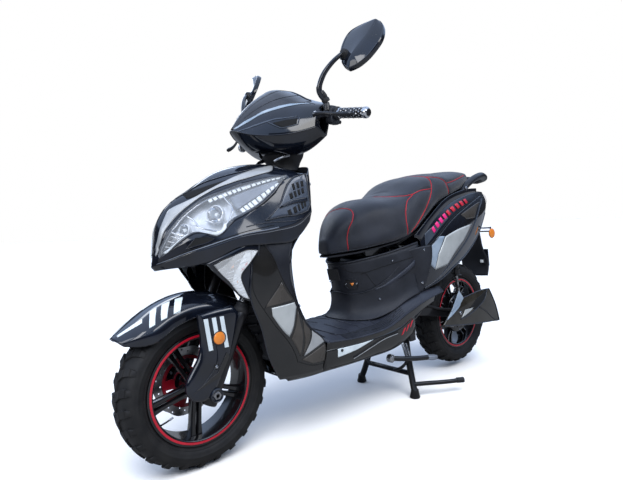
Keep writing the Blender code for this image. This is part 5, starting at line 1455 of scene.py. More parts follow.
# ---------------------------------------------------------------- tail
def build_tail():
    PANEL.skin("side_panel_shell", "gloss", 0.003, replaces=("side_panel_left", "side_panel_right"))
    sky = [(0.74, 0.47), (0.75, 1.11), (0.99, 1.44), (1.21, 0.97), (1.55, 0.7), (1.09, 0.26)]
    patches = [
        ("side_facet_upper", [(0.08, 0.35), (0.3, 1.3), (0.52, 1.9), (0.55, 1.0), (0.5, 0.25)], "blue"),
        ("side_facet_middle", sky, "sky"),
        ("side_facet_silver", [(1.02, 1.47), (1.28, 3.12), (1.49, 2.63), (1.6, 2.09), (1.74, 1.51),
            (1.57, 0.73), (1.24, 0.99)], "pale"),
        ("side_facet_dark", [(0.78, 2.5), (0.7, 4.0), (1.2, 3.35), (1.06, 2.75)], "brown"),
    ]
    for name, corners, look in patches:
        PANEL.patch(name, corners, look, 0.0006, 0.0012)
    for i in range(9):
        v = 0.9 + 0.255 * i
        low, high = (0.22, 0.47)
        bar = [(high, v), (high, v + 0.15), (low, v + 0.06), (low, v - 0.09)]
        PANEL.patch("side_bar_%d" % i, bar, "pink" if i < 4 else "red", 0.0022, 0.0006, rings=2, fine=2)
    PANEL.seam("side_gap", [(0.35, 0.02), (0.61, 0.55), (0.64, 1.93), (0.5, 3.2), (0.3, 4.2), (0.1, 4.9)],
        0.002, "dark", 0.0002)
    PANEL.seam("side_gap_ridge", [(0.43, 0.02), (0.69, 0.55), (0.72, 1.93), (0.58, 3.2), (0.38, 4.3)],
        0.0016, "gloss", 0.001)
    PANEL.seam("side_lower_ridge", [(1.96, 0.05), (1.86, 1.2), (1.72, 2.2), (1.48, 3.1), (1.05, 3.8),
        (0.6, 4.4)], 0.003, "gloss", 0.0006)
    PANEL.seam("side_top_rim", [(0.02, 0.02), (0.02, 1.5), (0.02, 3.0), (0.02, 4.95)], 0.0024, "gloss", 0.0)
    PANEL.seam("side_low_rim", [(1.98, 0.02), (1.98, 1.5), (1.98, 3.0), (1.98, 4.95)], 0.0026, "gloss", 0.0)
    rim = mm([
        [(-175, 160, 642), (-270, 165.5, 716), (-400, 155, 790), (-590, 128, 836), (-760, 93, 850)],
        [(-196, 163, 634), (-285, 165.5, 708), (-410, 154.5, 778), (-595, 128, 824), (-760, 94, 841)],
        [(-217, 160.5, 622), (-302, 161, 698), (-421, 150, 762), (-600, 125, 810), (-760, 92.5, 830)],
    ])
    Surface(rim, (-0.5, 0.0, 0.65), fine=8).skin("side_panel_rim", "gloss", 0.0025, mirrored=True)
    deck = mm([
        [(-600, 0, 800), (-600, 60, 800), (-600, 112, 806)],
        [(-760, 0, 822), (-760, 50, 822), (-760, 86, 828)],
        [(-874, 0, 834), (-874, 40, 834), (-866, 60, 832)],
    ])
    cover = Surface(both_columns(deck), (-0.74, 0.0, 0.7), fine=8)
    cover.skin("tail_deck", "matte", 0.003)
    sections = []
    for x, wide, low, high in ((-0.872, 0.0655, 0.742, 0.833), (-0.888, 0.0645, 0.748, 0.832),
            (-0.905, 0.059, 0.757, 0.829), (-0.917, 0.05, 0.766, 0.824), (-0.9215, 0.038, 0.776, 0.817)):
        knots = [(x, -wide, high - 0.012), (x, -wide * 0.7, high), (x, wide * 0.7, high),
            (x, wide, high - 0.012), (x, wide, low + 0.012), (x, wide * 0.7, low), (x, -wide * 0.7, low),
            (x, -wide, low + 0.012)]
        sections.append(smooth_line(knots + knots[:1], 3)[:-1])
    lofted("tail_lamp_cover", sections, "glass", "chassis", replaces=("tail_light",))
    core = [[Vector((x, y * 0.9, 0.7875 + (z - 0.7875) * 0.82)) for x, y, z in ring]
        for ring in sections[:4]]
    core = [[point + X_AXIS * 0.004 for point in ring] for ring in core]
    lofted("tail_lamp_core", core, "red", "chassis")
    for i in range(5):
        z = 0.76 + 0.013 * i
        cable("tail_lamp_rib_%d" % i, [(-0.9195, -0.044, z), (-0.9225, 0.0, z), (-0.9195, 0.044, z)],
            0.0014, "glass", "chassis")
    rail = mm([(-600, 98, 728), (-605, 101, 805), (-628, 112, 848), (-690, 112, 884), (-760, 102, 904),
        (-860, 70, 914), (-915, 45, 908), (-931, 0, 902)])
    line = smooth_line(rail, 6)
    whole = line + [across(point) for point in reversed(line[:-1])]
    cable("grab_rail_bar", whole, 0.0165, "satin", "chassis", sides=6, replaces=("grab_rail",),
        taper=lambda t: 0.66 + 0.42 * math.sin(math.pi * t) ** 0.6)
    pad = mm([(-700, 110, 893), (-780, 98, 913), (-860, 70, 922)])
    cable("grab_rail_inlay", smooth_line(pad, 8), 0.0075, "gloss", "chassis", mirrored=True,
        taper=lambda t: 0.35 + math.sin(math.pi * t) * 0.65)
    bolt("grab_rail_bolt", (-0.618, 0.126, 0.846), Vector((0.1, 1.0, 0.2)), 0.0075, "zinc", "chassis",
        mirrored=True)


def build_mudflap():
    FLAP.skin("mudflap_shell", "matte", 0.004, replaces=("plate_holder",))
    FLAP.seam("mudflap_rib_top", [(1.0, 0.05), (1.02, 1.0), (1.0, 1.95)], 0.0022, "satin")
    FLAP.seam("mudflap_rib_low", [(2.55, 0.05), (2.6, 1.0), (2.55, 1.95)], 0.0022, "satin")
    edge = [(0.1, 1.97), (1.0, 1.97), (2.0, 1.97), (3.0, 1.97), (3.9, 1.95)]
    FLAP.seam("mudflap_edge_left", edge, 0.0034, "satin")
    FLAP.seam("mudflap_edge_right", [(u, 2.0 - v) for u, v in edge], 0.0034, "satin")
    FLAP.seam("mudflap_edge_low", [(3.95, 0.05), (3.97, 1.0), (3.95, 1.95)], 0.0034, "satin")
    lamp = FLAP.at(2.92, 1.62) + Vector((0.003, 0.0, 0.0))
    block("mudflap_lamp_box", (0.03, 0.026, 0.02), plane_at(lamp, X_AXIS), "satin", "chassis", 0.004)
    block("mudflap_lamp", (0.016, 0.015, 0.006), plane_at(lamp + X_AXIS * 0.011, X_AXIS), "pearl",
        "chassis", 0.002)
    block("plate_lamp", (0.04, 0.016, 0.014), plane_at((-0.878, 0.0, 0.58), -X_AXIS), "satin", "chassis",
        0.004)
    block("plate_backing", (0.15, 0.085, 0.003), plane_at((-0.889, 0.0, 0.505), Vector((-1.0, 0.0, 0.12))),
        "satin", "chassis", 0.0012)
    for z in (0.655, 0.638):
        cable("reflector_bar_%d" % round(z * 1000), [(-0.835, 0.05, z), (-0.842, 0.115, z)], 0.0032,
            "frame", "chassis", mirrored=True)
    cable("reflector_post", mm([(-842, 115, 660), (-842, 115, 630)]), 0.0036, "frame", "chassis",
        mirrored=True)
    dome = mm([(0, 6.2), (10, 5.6), (17, 3.4), (18.5, 0), (17, -3.5), (0, -4.2)])
    oval = turned("side_reflector", dome, (-0.845, 0.12, 0.628), Vector((0.25, 0.97, 0.0)), "amber",
        "chassis", 40, mirrored=True)
    for vertex in oval.data.vertices:
        vertex.co.z = 0.628 + (vertex.co.z - 0.628) * 1.3


# ---------------------------------------------------------------- swingarm, shock and stands
def build_swingarm():
    SWING.skin("swingarm_shell", "bronze", 0.003, replaces=("swingarm_cover",))
    patches = [
        ("swingarm_sky", [(2.98, 0.02), (2.98, 0.4), (2.43, 0.42), (1.36, 0.02)], "sky"),
        # painted shade: the dark scoop patch stands in for the shade inside the scoop
        ("swingarm_scoop", [(2.92, 2.66), (2.55, 1.5), (2.02, 0.92), (1.9, 1.31), (2.35, 2.0)], "dark"),
        ("swingarm_silver", [(1.99, 0.74), (2.04, 1.22), (1.49, 0.64)], "pale"),
    ]
    for name, corners, look in patches:
        SWING.patch(name, corners, look, 0.0008, 0.0014)
    ear = mm([(430, 306), (492, 388), (526, 352), (500, 330)])
    slab("swingarm_ear", ear, plane_at((0.0, 0.15, 0.0), Y_AXIS), 0.003, "sky", "swingarm", 0.0006)
    SWING.seam("swingarm_scoop_edge", [(2.96, 2.75), (2.4, 2.1), (1.88, 1.34), (1.4, 0.62)], 0.0022,
        "gloss", 0.0014)
    SWING.seam("swingarm_ridge", [(1.95, 1.6), (1.55, 2.1), (1.05, 2.7), (0.98, 2.97)], 0.0026, "gloss",
        0.001)
    SWING.seam("swingarm_keel", [(0.99, 0.05), (1.0, 1.0), (1.0, 2.0), (1.0, 2.97)], 0.0024, "gloss",
        0.0004)
    border = [(0.03, 0.03), (0.03, 1.5), (0.03, 2.97)]
    SWING.seam("swingarm_low_rim", border, 0.0022, "gloss")
    rear = [(0.05, 2.98), (1.0, 2.98), (2.0, 2.98), (2.97, 2.98), (2.97, 2.0), (2.97, 1.0), (2.97, 0.05)]
    SWING.seam("swingarm_rear_rim", rear, 0.0026, "gloss", smooth=False)
    bolt("swingarm_bolt", SWING.at(1.84, 0.52, 0.001), SWING.normal(1.84, 0.52), 0.0085, "zinc", "swingarm")
    bolt("swingarm_bolt_low", SWING.at(0.6, 0.4, 0.001), SWING.normal(0.6, 0.4), 0.006, "zinc", "swingarm")
    for side, word in SIDES:
        for radius, height, depth, look in ((0.0145, 0.097, 0.002, "zinc"),
                (0.0105, 0.0992, 0.0085, "zinc")):
            shape = circle(radius, 6 if radius < 0.012 else 32)
            place = plane_at(REAR_AXLE + Y_AXIS * side * (height + depth / 2), Y_AXIS * side)
            slab("rear_axle_%s_%d" % (word, round(radius * 10000)), shape, place, depth, look, "swingarm",
                0.0008)
    cable("motor_lead", smooth_line(mm([(-635, 104, 262), (-600, 112, 268), (-520, 104, 292),
        (-400, 100, 318), (-300, 98, 352)]), 8), 0.0055, "soft", "swingarm")


def build_stands():
    foot = Vector((-0.162, 0.145, 0.0))
    top = Vector((-0.188, 0.09, 0.224))
    leg = [top, top.lerp(foot, 0.3) + Vector((0.0, -0.003, 0.0)), top.lerp(foot, 0.72), foot + Z_AXIS
        * 0.02]
    cable("centre_stand_legs", smooth_line(leg, 8), 0.0128, "frame", "centre_stand", mirrored=True, sides=7,
        replaces=("centre_stand",))
    sleeve = mm([(8.5, 104), (15, 104), (15.8, 101), (15.8, -101), (15, -104), (8.5, -104)])
    turned("centre_stand_sleeve", sleeve, (-0.19, 0.0, 0.235), Y_AXIS, "frame", "centre_stand", 40)
    shoe = mm([(0, 0.5), (18.5, 0.5), (20.5, 3), (20, 7), (17, 18), (15, 33), (13, 35)])
    turned("centre_stand_feet", shoe, foot, Z_AXIS, "frame", "centre_stand", 36, mirrored=True)
    cross = Vector((-0.19, 0.09, 0.235)).lerp(foot, 0.62)
    cable("centre_stand_cross", [across(cross), cross], 0.0102, "frame", "centre_stand", sides=7)
    tang = mm([(-164, 140, 52), (-215, 168, 50), (-270, 200, 48), (-342, 235, 46)])
    cable("centre_stand_tang", smooth_line(tang, 8), 0.0088, "frame", "centre_stand", sides=7)
    pad = mm([(-330, 228.5, 47), (-356, 242.5, 46.2)])
    cable("centre_stand_tang_pad", pad, 0.0112, "soft", "centre_stand", sides=7)
    brace = mm([(-175, 112, 150), (-150, 98, 118), (-140, 60, 98)])
    cable("centre_stand_brace", smooth_line(brace, 6), 0.006, "frame", "centre_stand", mirrored=True)
    start = Vector((-0.155, 0.112, 0.215))
    end = Vector((-0.172, 0.12, 0.15))
    for k, shift in enumerate((0.0, 0.016)):
        coil = []
        for i in range(141):
            turn = 2 * math.pi * i / 10
            middle = start.lerp(end, i / 140) + Vector((shift, 0.0, 0.0))
            coil.append(middle + Vector((math.cos(turn), math.sin(turn), 0.0)) * 0.0058)
        cable("stand_spring_%d" % k, coil, 0.0013, "zinc", "centre_stand", sides=2)
    pivot = Vector((-0.03, 0.14, 0.185))
    path = [pivot, (-0.08, 0.156, 0.176), (-0.14, 0.168, 0.166), (-0.215, 0.176, 0.156)]
    cable("side_stand_leg", smooth_line(path, 8), 0.0095, "frame", "side_stand", sides=7,
        replaces=("side_stand",))
    boss = mm([(0, 11.5), (8, 11.5), (10, 10), (15, 9.5), (15.5, 8), (15.5, -8.5), (14, -10), (0, -10)])
    turned("side_stand_boss", boss, pivot, Y_AXIS, "zinc", "side_stand", 36)
    shoe_place = Matrix.Translation((-0.236, 0.178, 0.153)) @ Matrix.Rotation(math.radians(-8), 4, "Y")
    outline = mm([(-26, -10), (-14, -15.5), (20, -13), (30, 0), (20, 13), (-14, 15.5), (-26, 10)])
    slab("side_stand_shoe", outline, shoe_place, 0.017, "grey", "side_stand", 0.004, fine=3)


# ---------------------------------------------------------------- steering head, controls and mirrors
VISOR_HOOD = [(0.3, 5.0, 0.02), (0.88, 5.0, 0.026), (1.16, 4.61, 0.02), (1.74, 4.16, 0.012),
    (2.4, 3.66, 0.006), (2.95, 3.18, 0.0015)]


def build_head():
    COVER.skin("handlebar_cover_shell", "gloss", 0.003, replaces=("handlebar_cover",), mirrored=False)
    hood = []
    for u, edge, rise in VISOR_HOOD:
        row = []
        for k in range(7):
            share = k / 6
            v = 3.0 + (edge - 3.0) * share
            row.append(COVER.at(u, v, 0.0012 + rise * math.cos(math.pi / 2 * share) ** 1.4))
        hood.append(row)
    visor = Surface(both_columns(hood), (0.36, 0.0, 1.04), fine=6, body="steering")
    visor.skin("visor_shell", "smoke", 0.003, replaces=("visor",))
    visor.seam("visor_rim", [(0.02, 0.1), (0.02, 3.0), (0.02, 6.0), (0.02, 9.0), (0.02, 11.9)], 0.002,
        "gloss", 0.0004)
    for i in range(2):
        v = 7.6 + 2.2 * i
        visor.seam("visor_rib_%d" % i, [(0.15, v), (1.2, v), (2.6, v), (4.2, v)], 0.001, "gloss", 0.0003,
            mirrored=True)
    stripe = [(3.05, 2.86, 2.93), (3.25, 2.88, 2.96), (3.66, 2.3, 2.58), (4.16, 1.66, 2.0),
        (4.61, 1.14, 1.44), (5.05, 0.92, 1.03), (5.4, 0.86, 0.88)]
    COVER.band("head_stripe_upper", stripe, "sky", 0.0008, 0.001)
    stripe = [(3.45, 2.97, 3.0), (4.09, 2.58, 2.66), (4.62, 2.18, 2.26), (5.3, 1.97, 1.99)]
    COVER.band("head_stripe_lower", stripe, "blue", 0.0008, 0.001)
    # painted shade and highlight: the dark patch stands in for the shade inside the vent, the blue-grey bead
    # along one side of it for a highlight on its rim
    vent = [(2.42, 4.62), (2.2, 5.02), (2.12, 5.34), (2.5, 5.38), (2.62, 5.02)]
    COVER.patch("head_vent", vent, "dark", 0.0008, 0.0008)
    COVER.seam("head_vent_edge", [(2.42, 4.45), (2.66, 5.02), (2.52, 5.42), (2.1, 5.4)], 0.0016, "blue",
        0.0014, smooth=False)
    COVER.seam("head_crease", [(3.0, 3.1), (3.0, 4.0), (3.0, 5.0), (3.0, 5.9)], 0.002, "gloss", 0.0002)
    COVER.seam("head_gap", [(0.35, 3.0), (0.4, 4.0), (0.62, 5.0), (0.9, 5.6)], 0.001, "dark", 0.0)
    back_rows = mm([
        [(287, 0, 1150), (291, 70, 1139), (293, 140, 1111), (289, 198, 1089)],
        [(276, 0, 1095), (278, 70, 1088), (284, 135, 1078), (288, 198, 1070)],
        [(282, 0, 1010), (283, 60, 1008), (288, 120, 1010), (292, 197, 1030)],
        [(362, 0, 942), (357, 50, 942), (333, 90, 942), (300, 194, 992)],
    ])
    back = Surface(both_columns(back_rows), (0.36, 0.0, 1.04), fine=8, body="steering")
    back.skin("head_back_shell", "satin", 0.0025)
    screen = [(0.12, 1.9), (0.12, 4.1), (0.62, 4.4), (1.02, 4.0), (1.02, 2.0), (0.62, 1.6)]
    back.patch("instrument_face", screen, "smoke", 0.0016, 0.002)
    back.seam("instrument_bezel", screen + screen[:1], 0.0026, "gloss", 0.002, smooth=False)
    for i in range(3):
        back.seam("instrument_mark_%d" % i, [(0.45 + 0.14 * i, 2.5), (0.45 + 0.14 * i, 3.5)], 0.0008,
            "pearl", 0.0034)
    boot = mm([(74, 956), (70, 940), (60, 922), (54, 905), (56, 893)])
    turned("steering_boot", [(r, z - 0.9) for r, z in boot], (0.335, 0.0, 0.9), Z_AXIS, "soft", "steering",
        36)
    for side, word in SIDES:
        foot = Vector((0.358, side * 0.062, 0.94))
        cable("head_bracket_" + word, smooth_line([foot, foot + Vector((0.032, 0, -0.01)), foot
            + Vector((0.052, -side * 0.012, -0.022))], 4), 0.0065, "zinc", "steering")


def build_grip(side):
    word = "left" if side > 0 else "right"
    inner = BAR_IN if side > 0 else across(BAR_IN)
    outer = BAR_OUT if side > 0 else across(BAR_OUT)
    body = "steering" if side > 0 else "throttle_grip"
    node = "grip_left" if side > 0 else "throttle_grip"
    line = outer - inner
    length = line.length
    begin = 0.245 * length
    finish = 0.985 * length
    core = [(0.02, begin), (0.0208, begin + 0.003), (0.02, begin + 0.006), (0.0152, begin + 0.009),
        (0.0148, begin + 0.03), (0.0156, begin + 0.06), (0.015, finish - 0.014)]
    turned("grip_sleeve_" + word, core, inner, line, "soft", body, 48, replaces=(node,))
    cap = [(0.015, finish - 0.016), (0.0172, finish - 0.014), (0.0176, finish - 0.008),
        (0.016, finish - 0.003), (0.012, finish), (0.0, finish + 0.001)]
    turned("grip_end_" + word, cap, inner, line, "chrome", body, 48)
    collar = [(0.015, begin + 0.008), (0.0166, begin + 0.009), (0.017, begin + 0.014),
        (0.0152, begin + 0.016)]
    turned("grip_collar_" + word, collar, inner, line, "chrome", body, 48)
    axis = line.normalized()
    turn = axis.to_track_quat("Z", "Y").to_matrix()
    points = []
    faces = []
    for ring in range(9):
        for k in range(9):
            angle = 2 * math.pi * (k + 0.5 * (ring % 2)) / 9
            middle = begin + 0.024 + 0.0098 * ring
            start = len(points)
            for dz, da, radius in ((-0.0042, 0.0, 0.0158), (0.0, 0.24, 0.0164), (0.0042, 0.0, 0.0158),
                    (0.0, -0.24, 0.0164)):
                spot = Vector((radius * math.cos(angle + da), radius * math.sin(angle + da), middle + dz))
                points.append(inner + turn @ spot)
            spot = Vector((0.0175 * math.cos(angle), 0.0175 * math.sin(angle), middle))
            points.append(inner + turn @ spot)
            for j in range(4):
                faces.append((start + j, start + (j + 1) % 4, start + 4))
    solid("grip_studs_" + word, points, faces, "zinc", body, angle=20, tidy=True)


def build_lever(side):
    word = "left" if side > 0 else "right"
    path = mm([(364.5, 206, 1045), (366.5, 222, 1044.5), (362, 245, 1042), (351, 275, 1035),
        (342, 310, 1028), (340, 335, 1024), (343, 350, 1021)])
    line = smooth_line([Vector((x, side * y, z)) for x, y, z in path], 5)
    sections = []
    for i, point in enumerate(line):
        ahead = line[min(i + 1, len(line) - 1)] - line[max(i - 1, 0)]
        ahead.normalize()
        wide = Z_AXIS.cross(ahead).normalized()
        tall = ahead.cross(wide)
        share = i / (len(line) - 1)
        half_wide = 0.0046 - 0.001 * share
        half_tall = 0.0085 - 0.003 * math.sin(math.pi * min(share * 1.2, 1.0))
        if share > 0.9:
            half_wide *= 1.35
        sections.append([point + wide * half_wide * math.cos(a) + tall * half_tall * math.sin(a) for a in [2
            * math.pi * k / 12 for k in range(12)]])
    lofted("brake_lever_blade_" + word, sections, "frame", "brake_lever_" + word, replaces=("brake_lever_"
        + word,), angle=50)
    tip = mm([(0, 6.8), (4.8, 5), (6.8, 0), (4.8, -5), (0, -6.8)])
    turned("brake_lever_tip_" + word, tip, line[-1], Z_AXIS, "frame", "brake_lever_" + word, 24)
    pin = Vector((0.358, side * 0.205, 1.0535))
    bolt("brake_lever_pin_" + word, pin, Z_AXIS, 0.0055, "zinc", "brake_lever_" + word)


def build_pod(side):
    word = "left" if side > 0 else "right"
    inner = BAR_IN if side > 0 else across(BAR_IN)
    outer = BAR_OUT if side > 0 else across(BAR_OUT)
    axis = (outer - inner).normalized()
    middle = inner.lerp(outer, 0.125) - Z_AXIS * 0.006
    ahead = Z_AXIS.cross(axis).normalized() * side
    sections = []
    for shift, scale in ((-0.0135, 0.86), (-0.0115, 0.97), (-0.004, 1.0), (0.004, 1.0), (0.0115, 0.97),
            (0.0135, 0.86)):
        ring = []
        for k in range(28):
            a = 2 * math.pi * k / 28
            x = math.copysign(abs(math.cos(a)) ** 0.55, math.cos(a)) * 0.0235 * scale
            z = math.copysign(abs(math.sin(a)) ** 0.62, math.sin(a)) * 0.0305 * scale
            ring.append(middle + axis * shift - ahead * x + Z_AXIS * z)
        sections.append(ring)
    lofted("switch_pod_shell_" + word, sections, "matte", "steering", replaces=("switch_pod_" + word,))
    split = [middle - ahead * 0.0236 * math.cos(a) + Z_AXIS * 0.0306 * math.sin(a) for a in [2 * math.pi
        * k / 36 for k in range(36)]]
    cable("switch_pod_split_" + word, split, 0.0009, "dark", "steering", closed=True)
    clamp = Vector((0.336, side * 0.2165, 1.045))
    block("lever_clamp_" + word, (0.044, 0.018, 0.019), plane_at(clamp, Z_AXIS, X_AXIS), "frame",
        "steering", 0.0045)
    seat = Vector((0.32, side * 0.219, 1.06))
    turned("mirror_boss_" + word, mm([(10, 0), (10, 18), (8.8, 25.5), (6.2, 26.5)]), seat, Z_AXIS, "frame",
        "steering", 32)
    ring = mm([(11.2, -10), (15.5, -9.5), (16.5, -4), (16.5, 5), (15, 10), (11.2, 10.4)])
    turned("bar_collar_" + word, ring, inner.lerp(outer, 0.03), axis, "chrome", "steering", 40)


def build_mirror(side):
    word = "left" if side > 0 else "right"
    body = "mirror_head_" + word
    path = [(0.32, 0.219, 1.09), (0.346, 0.216, 1.12), (0.341, 0.228, 1.16), (0.322, 0.25, 1.198),
        tuple(MIRROR_BALL)]
    line = smooth_line([Vector((x, side * y, z)) for x, y, z in path], 8)
    cable("mirror_stalk_" + word, line, 0.0082, "gloss", "mirror_arm_" + word, sides=7,
        replaces=("mirror_arm_" + word,), taper=lambda t: 1.25 - 0.45 * t)
    foot = Vector((0.32, side * 0.219, 1.088))
    boot = mm([(8.5, -1), (12.5, 0), (13, 8), (10, 14), (11.5, 18), (9.8, 28), (8, 36)])
    turned("mirror_boot_" + word, boot, foot, Vector((0.65, -0.05 * side, 1.0)), "soft", "mirror_arm_"
        + word, 36)
    centre = Vector((MIRROR_CENTRE.x, side * MIRROR_CENTRE.y, MIRROR_CENTRE.z))
    turn = Matrix.Rotation(math.radians(18 * side), 4, "Z") @ Matrix.Rotation(math.radians(-24), 4, "Y")
    facing = turn @ Matrix(((0, 0, 1, 0), (1, 0, 0, 0), (0, 1, 0, 0), (0, 0, 0, 1)))
    place = Matrix.Translation(centre) @ facing
    head = mm([(-34, -80), (-55, -62), (-74, -22), (-75, 30), (-60, 66), (-22, 83), (38, 84), (52, 74),
        (63, 10), (46, -24), (24, -52), (-6, -73)])
    knots = [(u, w, 0.0) for u, w in head]
    shape = smooth_line(knots + knots[:1], 5)[:-1]
    ridge = [Vector((0.04, 0.074, 0.0)), Vector((0.018, 0.022, 0.0)), Vector((-0.022, -0.036, 0.0))]

    def ring_at(scale, height):
        ring = []
        for point in shape:
            share = min(max((point.y + 0.07) / 0.14, 0.0), 1.0)
            low = ridge[2].lerp(ridge[1], share * 2) if share < 0.5 else ridge[1].lerp(ridge[0], share * 2
                - 1)
            spot = low.lerp(point, scale)
            ring.append(place @ Vector((side * spot.x, spot.y, height)))
        return ring

    levels = ((0.93, -0.008), (0.985, -0.0105), (1.0, -0.0085), (1.003, -0.002), (0.985, 0.0045),
        (0.945, 0.007), (0.905, 0.0066), (0.9, 0.006), (0.6, 0.0125), (0.3, 0.0175), (0.04, 0.0205))
    sections = [ring_at(scale, height) for scale, height in levels]
    lofted("mirror_shell_" + word, sections, "gloss", body, replaces=(body,), angle=22)
    glass = [place @ Vector((side * point.x * 0.9, point.y * 0.9, -0.0078)) for point in shape]
    under = [place @ Vector((side * point.x * 0.9, point.y * 0.9, -0.006)) for point in shape]
    lofted("mirror_glass_" + word, [glass, under], "chrome", body)
    ball = Vector((MIRROR_BALL.x, side * MIRROR_BALL.y, MIRROR_BALL.z))
    forward = (facing @ Vector((0.0, 0.0, 1.0, 0.0))).to_3d()
    knuckle = mm([(0, 9), (8.5, 7.5), (12.5, 2), (15, -5), (17.5, -10)])
    turned("mirror_knuckle_" + word, knuckle, ball, forward, "soft", body, 40)
    cup = mm([(15, -7.2), (18.8, -7), (20, -10), (20, -13), (15, -13)])
    turned("mirror_socket_" + word, cup, ball, forward, "gloss", body, 40, closed=True)


# ---------------------------------------------------------------- CAD nodes that stay
KEPT = {
    "frame": "frame",
    "battery": "battery",
    "controller": "zinc",
    "storage_tub": "matte",
    "seat_pan": "matte",
    "steering_stem": "frame",
    "handlebar": "frame",
    "front_axle": "steel",
    "swingarm": "frame",
    "motor_axle": "steel",
    "shock_body": "frame",
    "shock_rod": "steel",
    "shock_spring": "frame",
    "charge_flap": "soft",
    "ignition_key": "zinc",
    "horn_button": "soft",
    "turn_switch": "soft",
    "start_button": "red",
}


def dress_kept_nodes():
    for name, look in KEPT.items():
        node = NODES[name]
        node.data.materials.clear()
        node.data.materials.append(PAINT[look])


# ---------------------------------------------------------------- stage, lights and camera
def stage_ground():
    """A pale floor that gives back only part of its light, so that black paint stays black."""
    made = paint("floor_pale", (0.84, 0.84, 0.84), (0.86, 0.86, 0.86), 0.9, mottle=2.0,
        Specular_IOR_Level=0.1)
    nodes = made.node_tree.nodes
    links = made.node_tree.links
    dim = nodes.new("ShaderNodeBsdfDiffuse")
    dim.inputs["Color"].default_value = (0.2, 0.2, 0.2, 1.0)
    paths = nodes.new("ShaderNodeLightPath")
    mix = nodes.new("ShaderNodeMixShader")
    links.new(paths.outputs["Is Camera Ray"], mix.inputs["Fac"])
    links.new(dim.outputs["BSDF"], mix.inputs[1])
    links.new(nodes["Principled BSDF"].outputs["BSDF"], mix.inputs[2])
    links.new(mix.outputs["Shader"], nodes["Material Output"].inputs["Surface"])
    return made


def build_stage():
    ground = stage_ground()
    mesh = bpy.data.meshes.new("stage_floor")
    reach = 150.0
    mesh.from_pydata([(-reach, -reach, 0.0), (reach, -reach, 0.0), (reach, reach, 0.0),
        (-reach, reach, 0.0)], [], [(0, 1, 2, 3)])
    floor = bpy.data.objects.new("stage_floor", mesh)
    floor.location.z = -0.0005
    mesh.materials.append(ground)
    bpy.context.scene.collection.objects.link(floor)


def add_lamp(name, place, target, power, size, colour, mirrored=True):
    data = bpy.data.lights.new(name, "AREA")
    data.shape = "RECTANGLE"
    data.size = size[0]
    data.size_y = size[1]
    data.energy = power
    data.color = colour
    lamp = bpy.data.objects.new(name, data)
    lamp.location = place
    lamp.visible_glossy = mirrored
    lamp.rotation_euler = (Vector(target) - Vector(place)).to_track_quat("-Z", "Y").to_euler()
    bpy.context.scene.collection.objects.link(lamp)


def add_sun(name, direction, strength, angle, colour):
    data = bpy.data.lights.new(name, "SUN")
    data.energy = strength
    data.angle = math.radians(angle)
    data.color = colour
    lamp = bpy.data.objects.new(name, data)
    lamp.rotation_euler = Vector(direction).to_track_quat("-Z", "Y").to_euler()
    lamp.visible_glossy = False
    bpy.context.scene.collection.objects.link(lamp)


SKY_STOPS = [(0.0, (0.1, 0.095, 0.09)), (0.45, (0.03, 0.029, 0.028)), (0.55, (0.034, 0.035, 0.039)),
    (0.64, (0.075, 0.095, 0.135)), (0.68, (0.48, 0.64, 0.95)), (1.0, (0.8, 0.98, 1.35))]


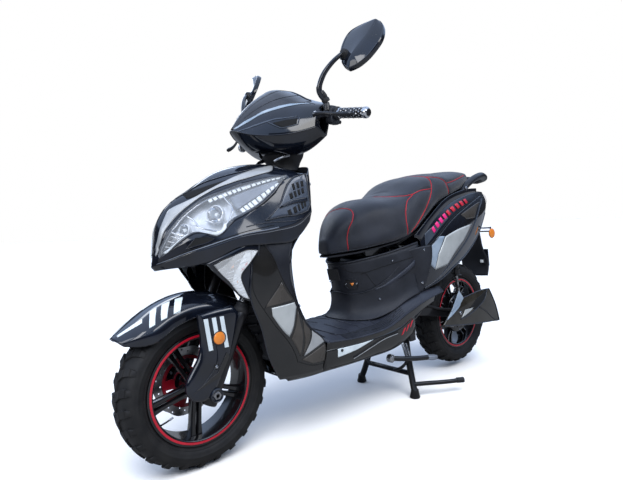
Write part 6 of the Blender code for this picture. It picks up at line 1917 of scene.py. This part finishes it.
def build_lights():
    world = bpy.data.worlds.new("studio")
    bpy.context.scene.world = world
    world.use_nodes = True
    nodes = world.node_tree.nodes
    links = world.node_tree.links
    place = nodes.new("ShaderNodeTexCoord")
    split = nodes.new("ShaderNodeSeparateXYZ")
    links.new(place.outputs["Generated"], split.inputs["Vector"])
    span = nodes.new("ShaderNodeMapRange")
    span.inputs["From Min"].default_value = -1.0
    span.inputs["From Max"].default_value = 1.0
    links.new(split.outputs["Z"], span.inputs["Value"])
    sky = nodes.new("ShaderNodeValToRGB")
    elements = sky.color_ramp.elements
    while len(elements) < len(SKY_STOPS):
        elements.new(0.5)
    for element, (spot, colour) in zip(elements, SKY_STOPS):
        element.position = spot
        element.color = (*colour, 1.0)
    links.new(span.outputs["Result"], sky.inputs["Fac"])
    around = nodes["Background"]
    around.inputs["Strength"].default_value = 0.85
    links.new(sky.outputs["Color"], around.inputs["Color"])
    seen = nodes.new("ShaderNodeBackground")
    seen.inputs["Color"].default_value = (1.0, 1.0, 1.0, 1.0)
    seen.inputs["Strength"].default_value = 1.0
    paths = nodes.new("ShaderNodeLightPath")
    mix = nodes.new("ShaderNodeMixShader")
    links.new(paths.outputs["Is Camera Ray"], mix.inputs["Fac"])
    links.new(around.outputs["Background"], mix.inputs[1])
    links.new(seen.outputs["Background"], mix.inputs[2])
    links.new(mix.outputs["Shader"], nodes["World Output"].inputs["Surface"])
    add_sun("daylight", (-0.35, -0.55, -1.0), 2.7, 40.0, (1.0, 0.985, 0.96))
    add_lamp("key", (1.6, 2.6, 3.4), (0.1, 0.0, 0.6), 42.0, (2.2, 2.2), (1.0, 0.99, 0.97), False)
    add_lamp("front", (3.4, 0.4, 1.6), (0.4, 0.0, 0.6), 14.0, (1.4, 1.4), (0.95, 0.97, 1.0))
    add_lamp("strip_side", (-0.2, 2.3, 1.9), (0.0, 0.0, 0.6), 16.0, (3.0, 0.5), (1.0, 1.0, 1.0))
    add_lamp("strip_front", (2.6, 1.3, 1.9), (0.6, 0.0, 0.8), 10.0, (0.5, 1.6), (1.0, 1.0, 1.0))
    add_lamp("strip_far", (0.4, -2.4, 2.4), (0.0, 0.0, 0.7), 12.0, (2.6, 0.5), (0.9, 0.95, 1.0))


def build_camera():
    yaw = -2.2757
    pitch = -0.0273
    roll = -0.0435
    focal_share = 472.0 / PHOTO_WIDTH
    data = bpy.data.cameras.new("photo_camera")
    data.sensor_width = 36.0
    data.lens = 36.0 * focal_share
    data.clip_start = 0.05
    data.clip_end = 100.0
    camera = bpy.data.objects.new("photo_camera", data)
    forward = Vector((math.cos(pitch) * math.cos(yaw), math.cos(pitch) * math.sin(yaw), math.sin(pitch)))
    right = forward.cross(Z_AXIS).normalized()
    rise = right.cross(forward)
    right_rolled = right * math.cos(roll) + rise * math.sin(roll)
    rise_rolled = rise * math.cos(roll) - right * math.sin(roll)
    turn = Matrix((right_rolled, rise_rolled, -forward)).transposed().to_4x4()
    camera.matrix_world = Matrix.Translation((1.3388, 1.3148, 0.6966)) @ turn
    bpy.context.scene.collection.objects.link(camera)
    bpy.context.scene.camera = camera


build_front_wheel()
build_rear_wheel()
build_fender()
build_fork()
build_cowl()
build_vent()
build_headlamp()
build_signals()
build_shields()
build_floor()
build_tower()
build_seat()
build_tail()
build_mudflap()
build_swingarm()
build_stands()
build_head()
for hand in (1, -1):
    build_grip(hand)
    build_lever(hand)
    build_pod(hand)
    build_mirror(hand)
dress_kept_nodes()
build_stage()
build_lights()
build_camera()
bpy.context.scene.view_settings.view_transform = "Standard"
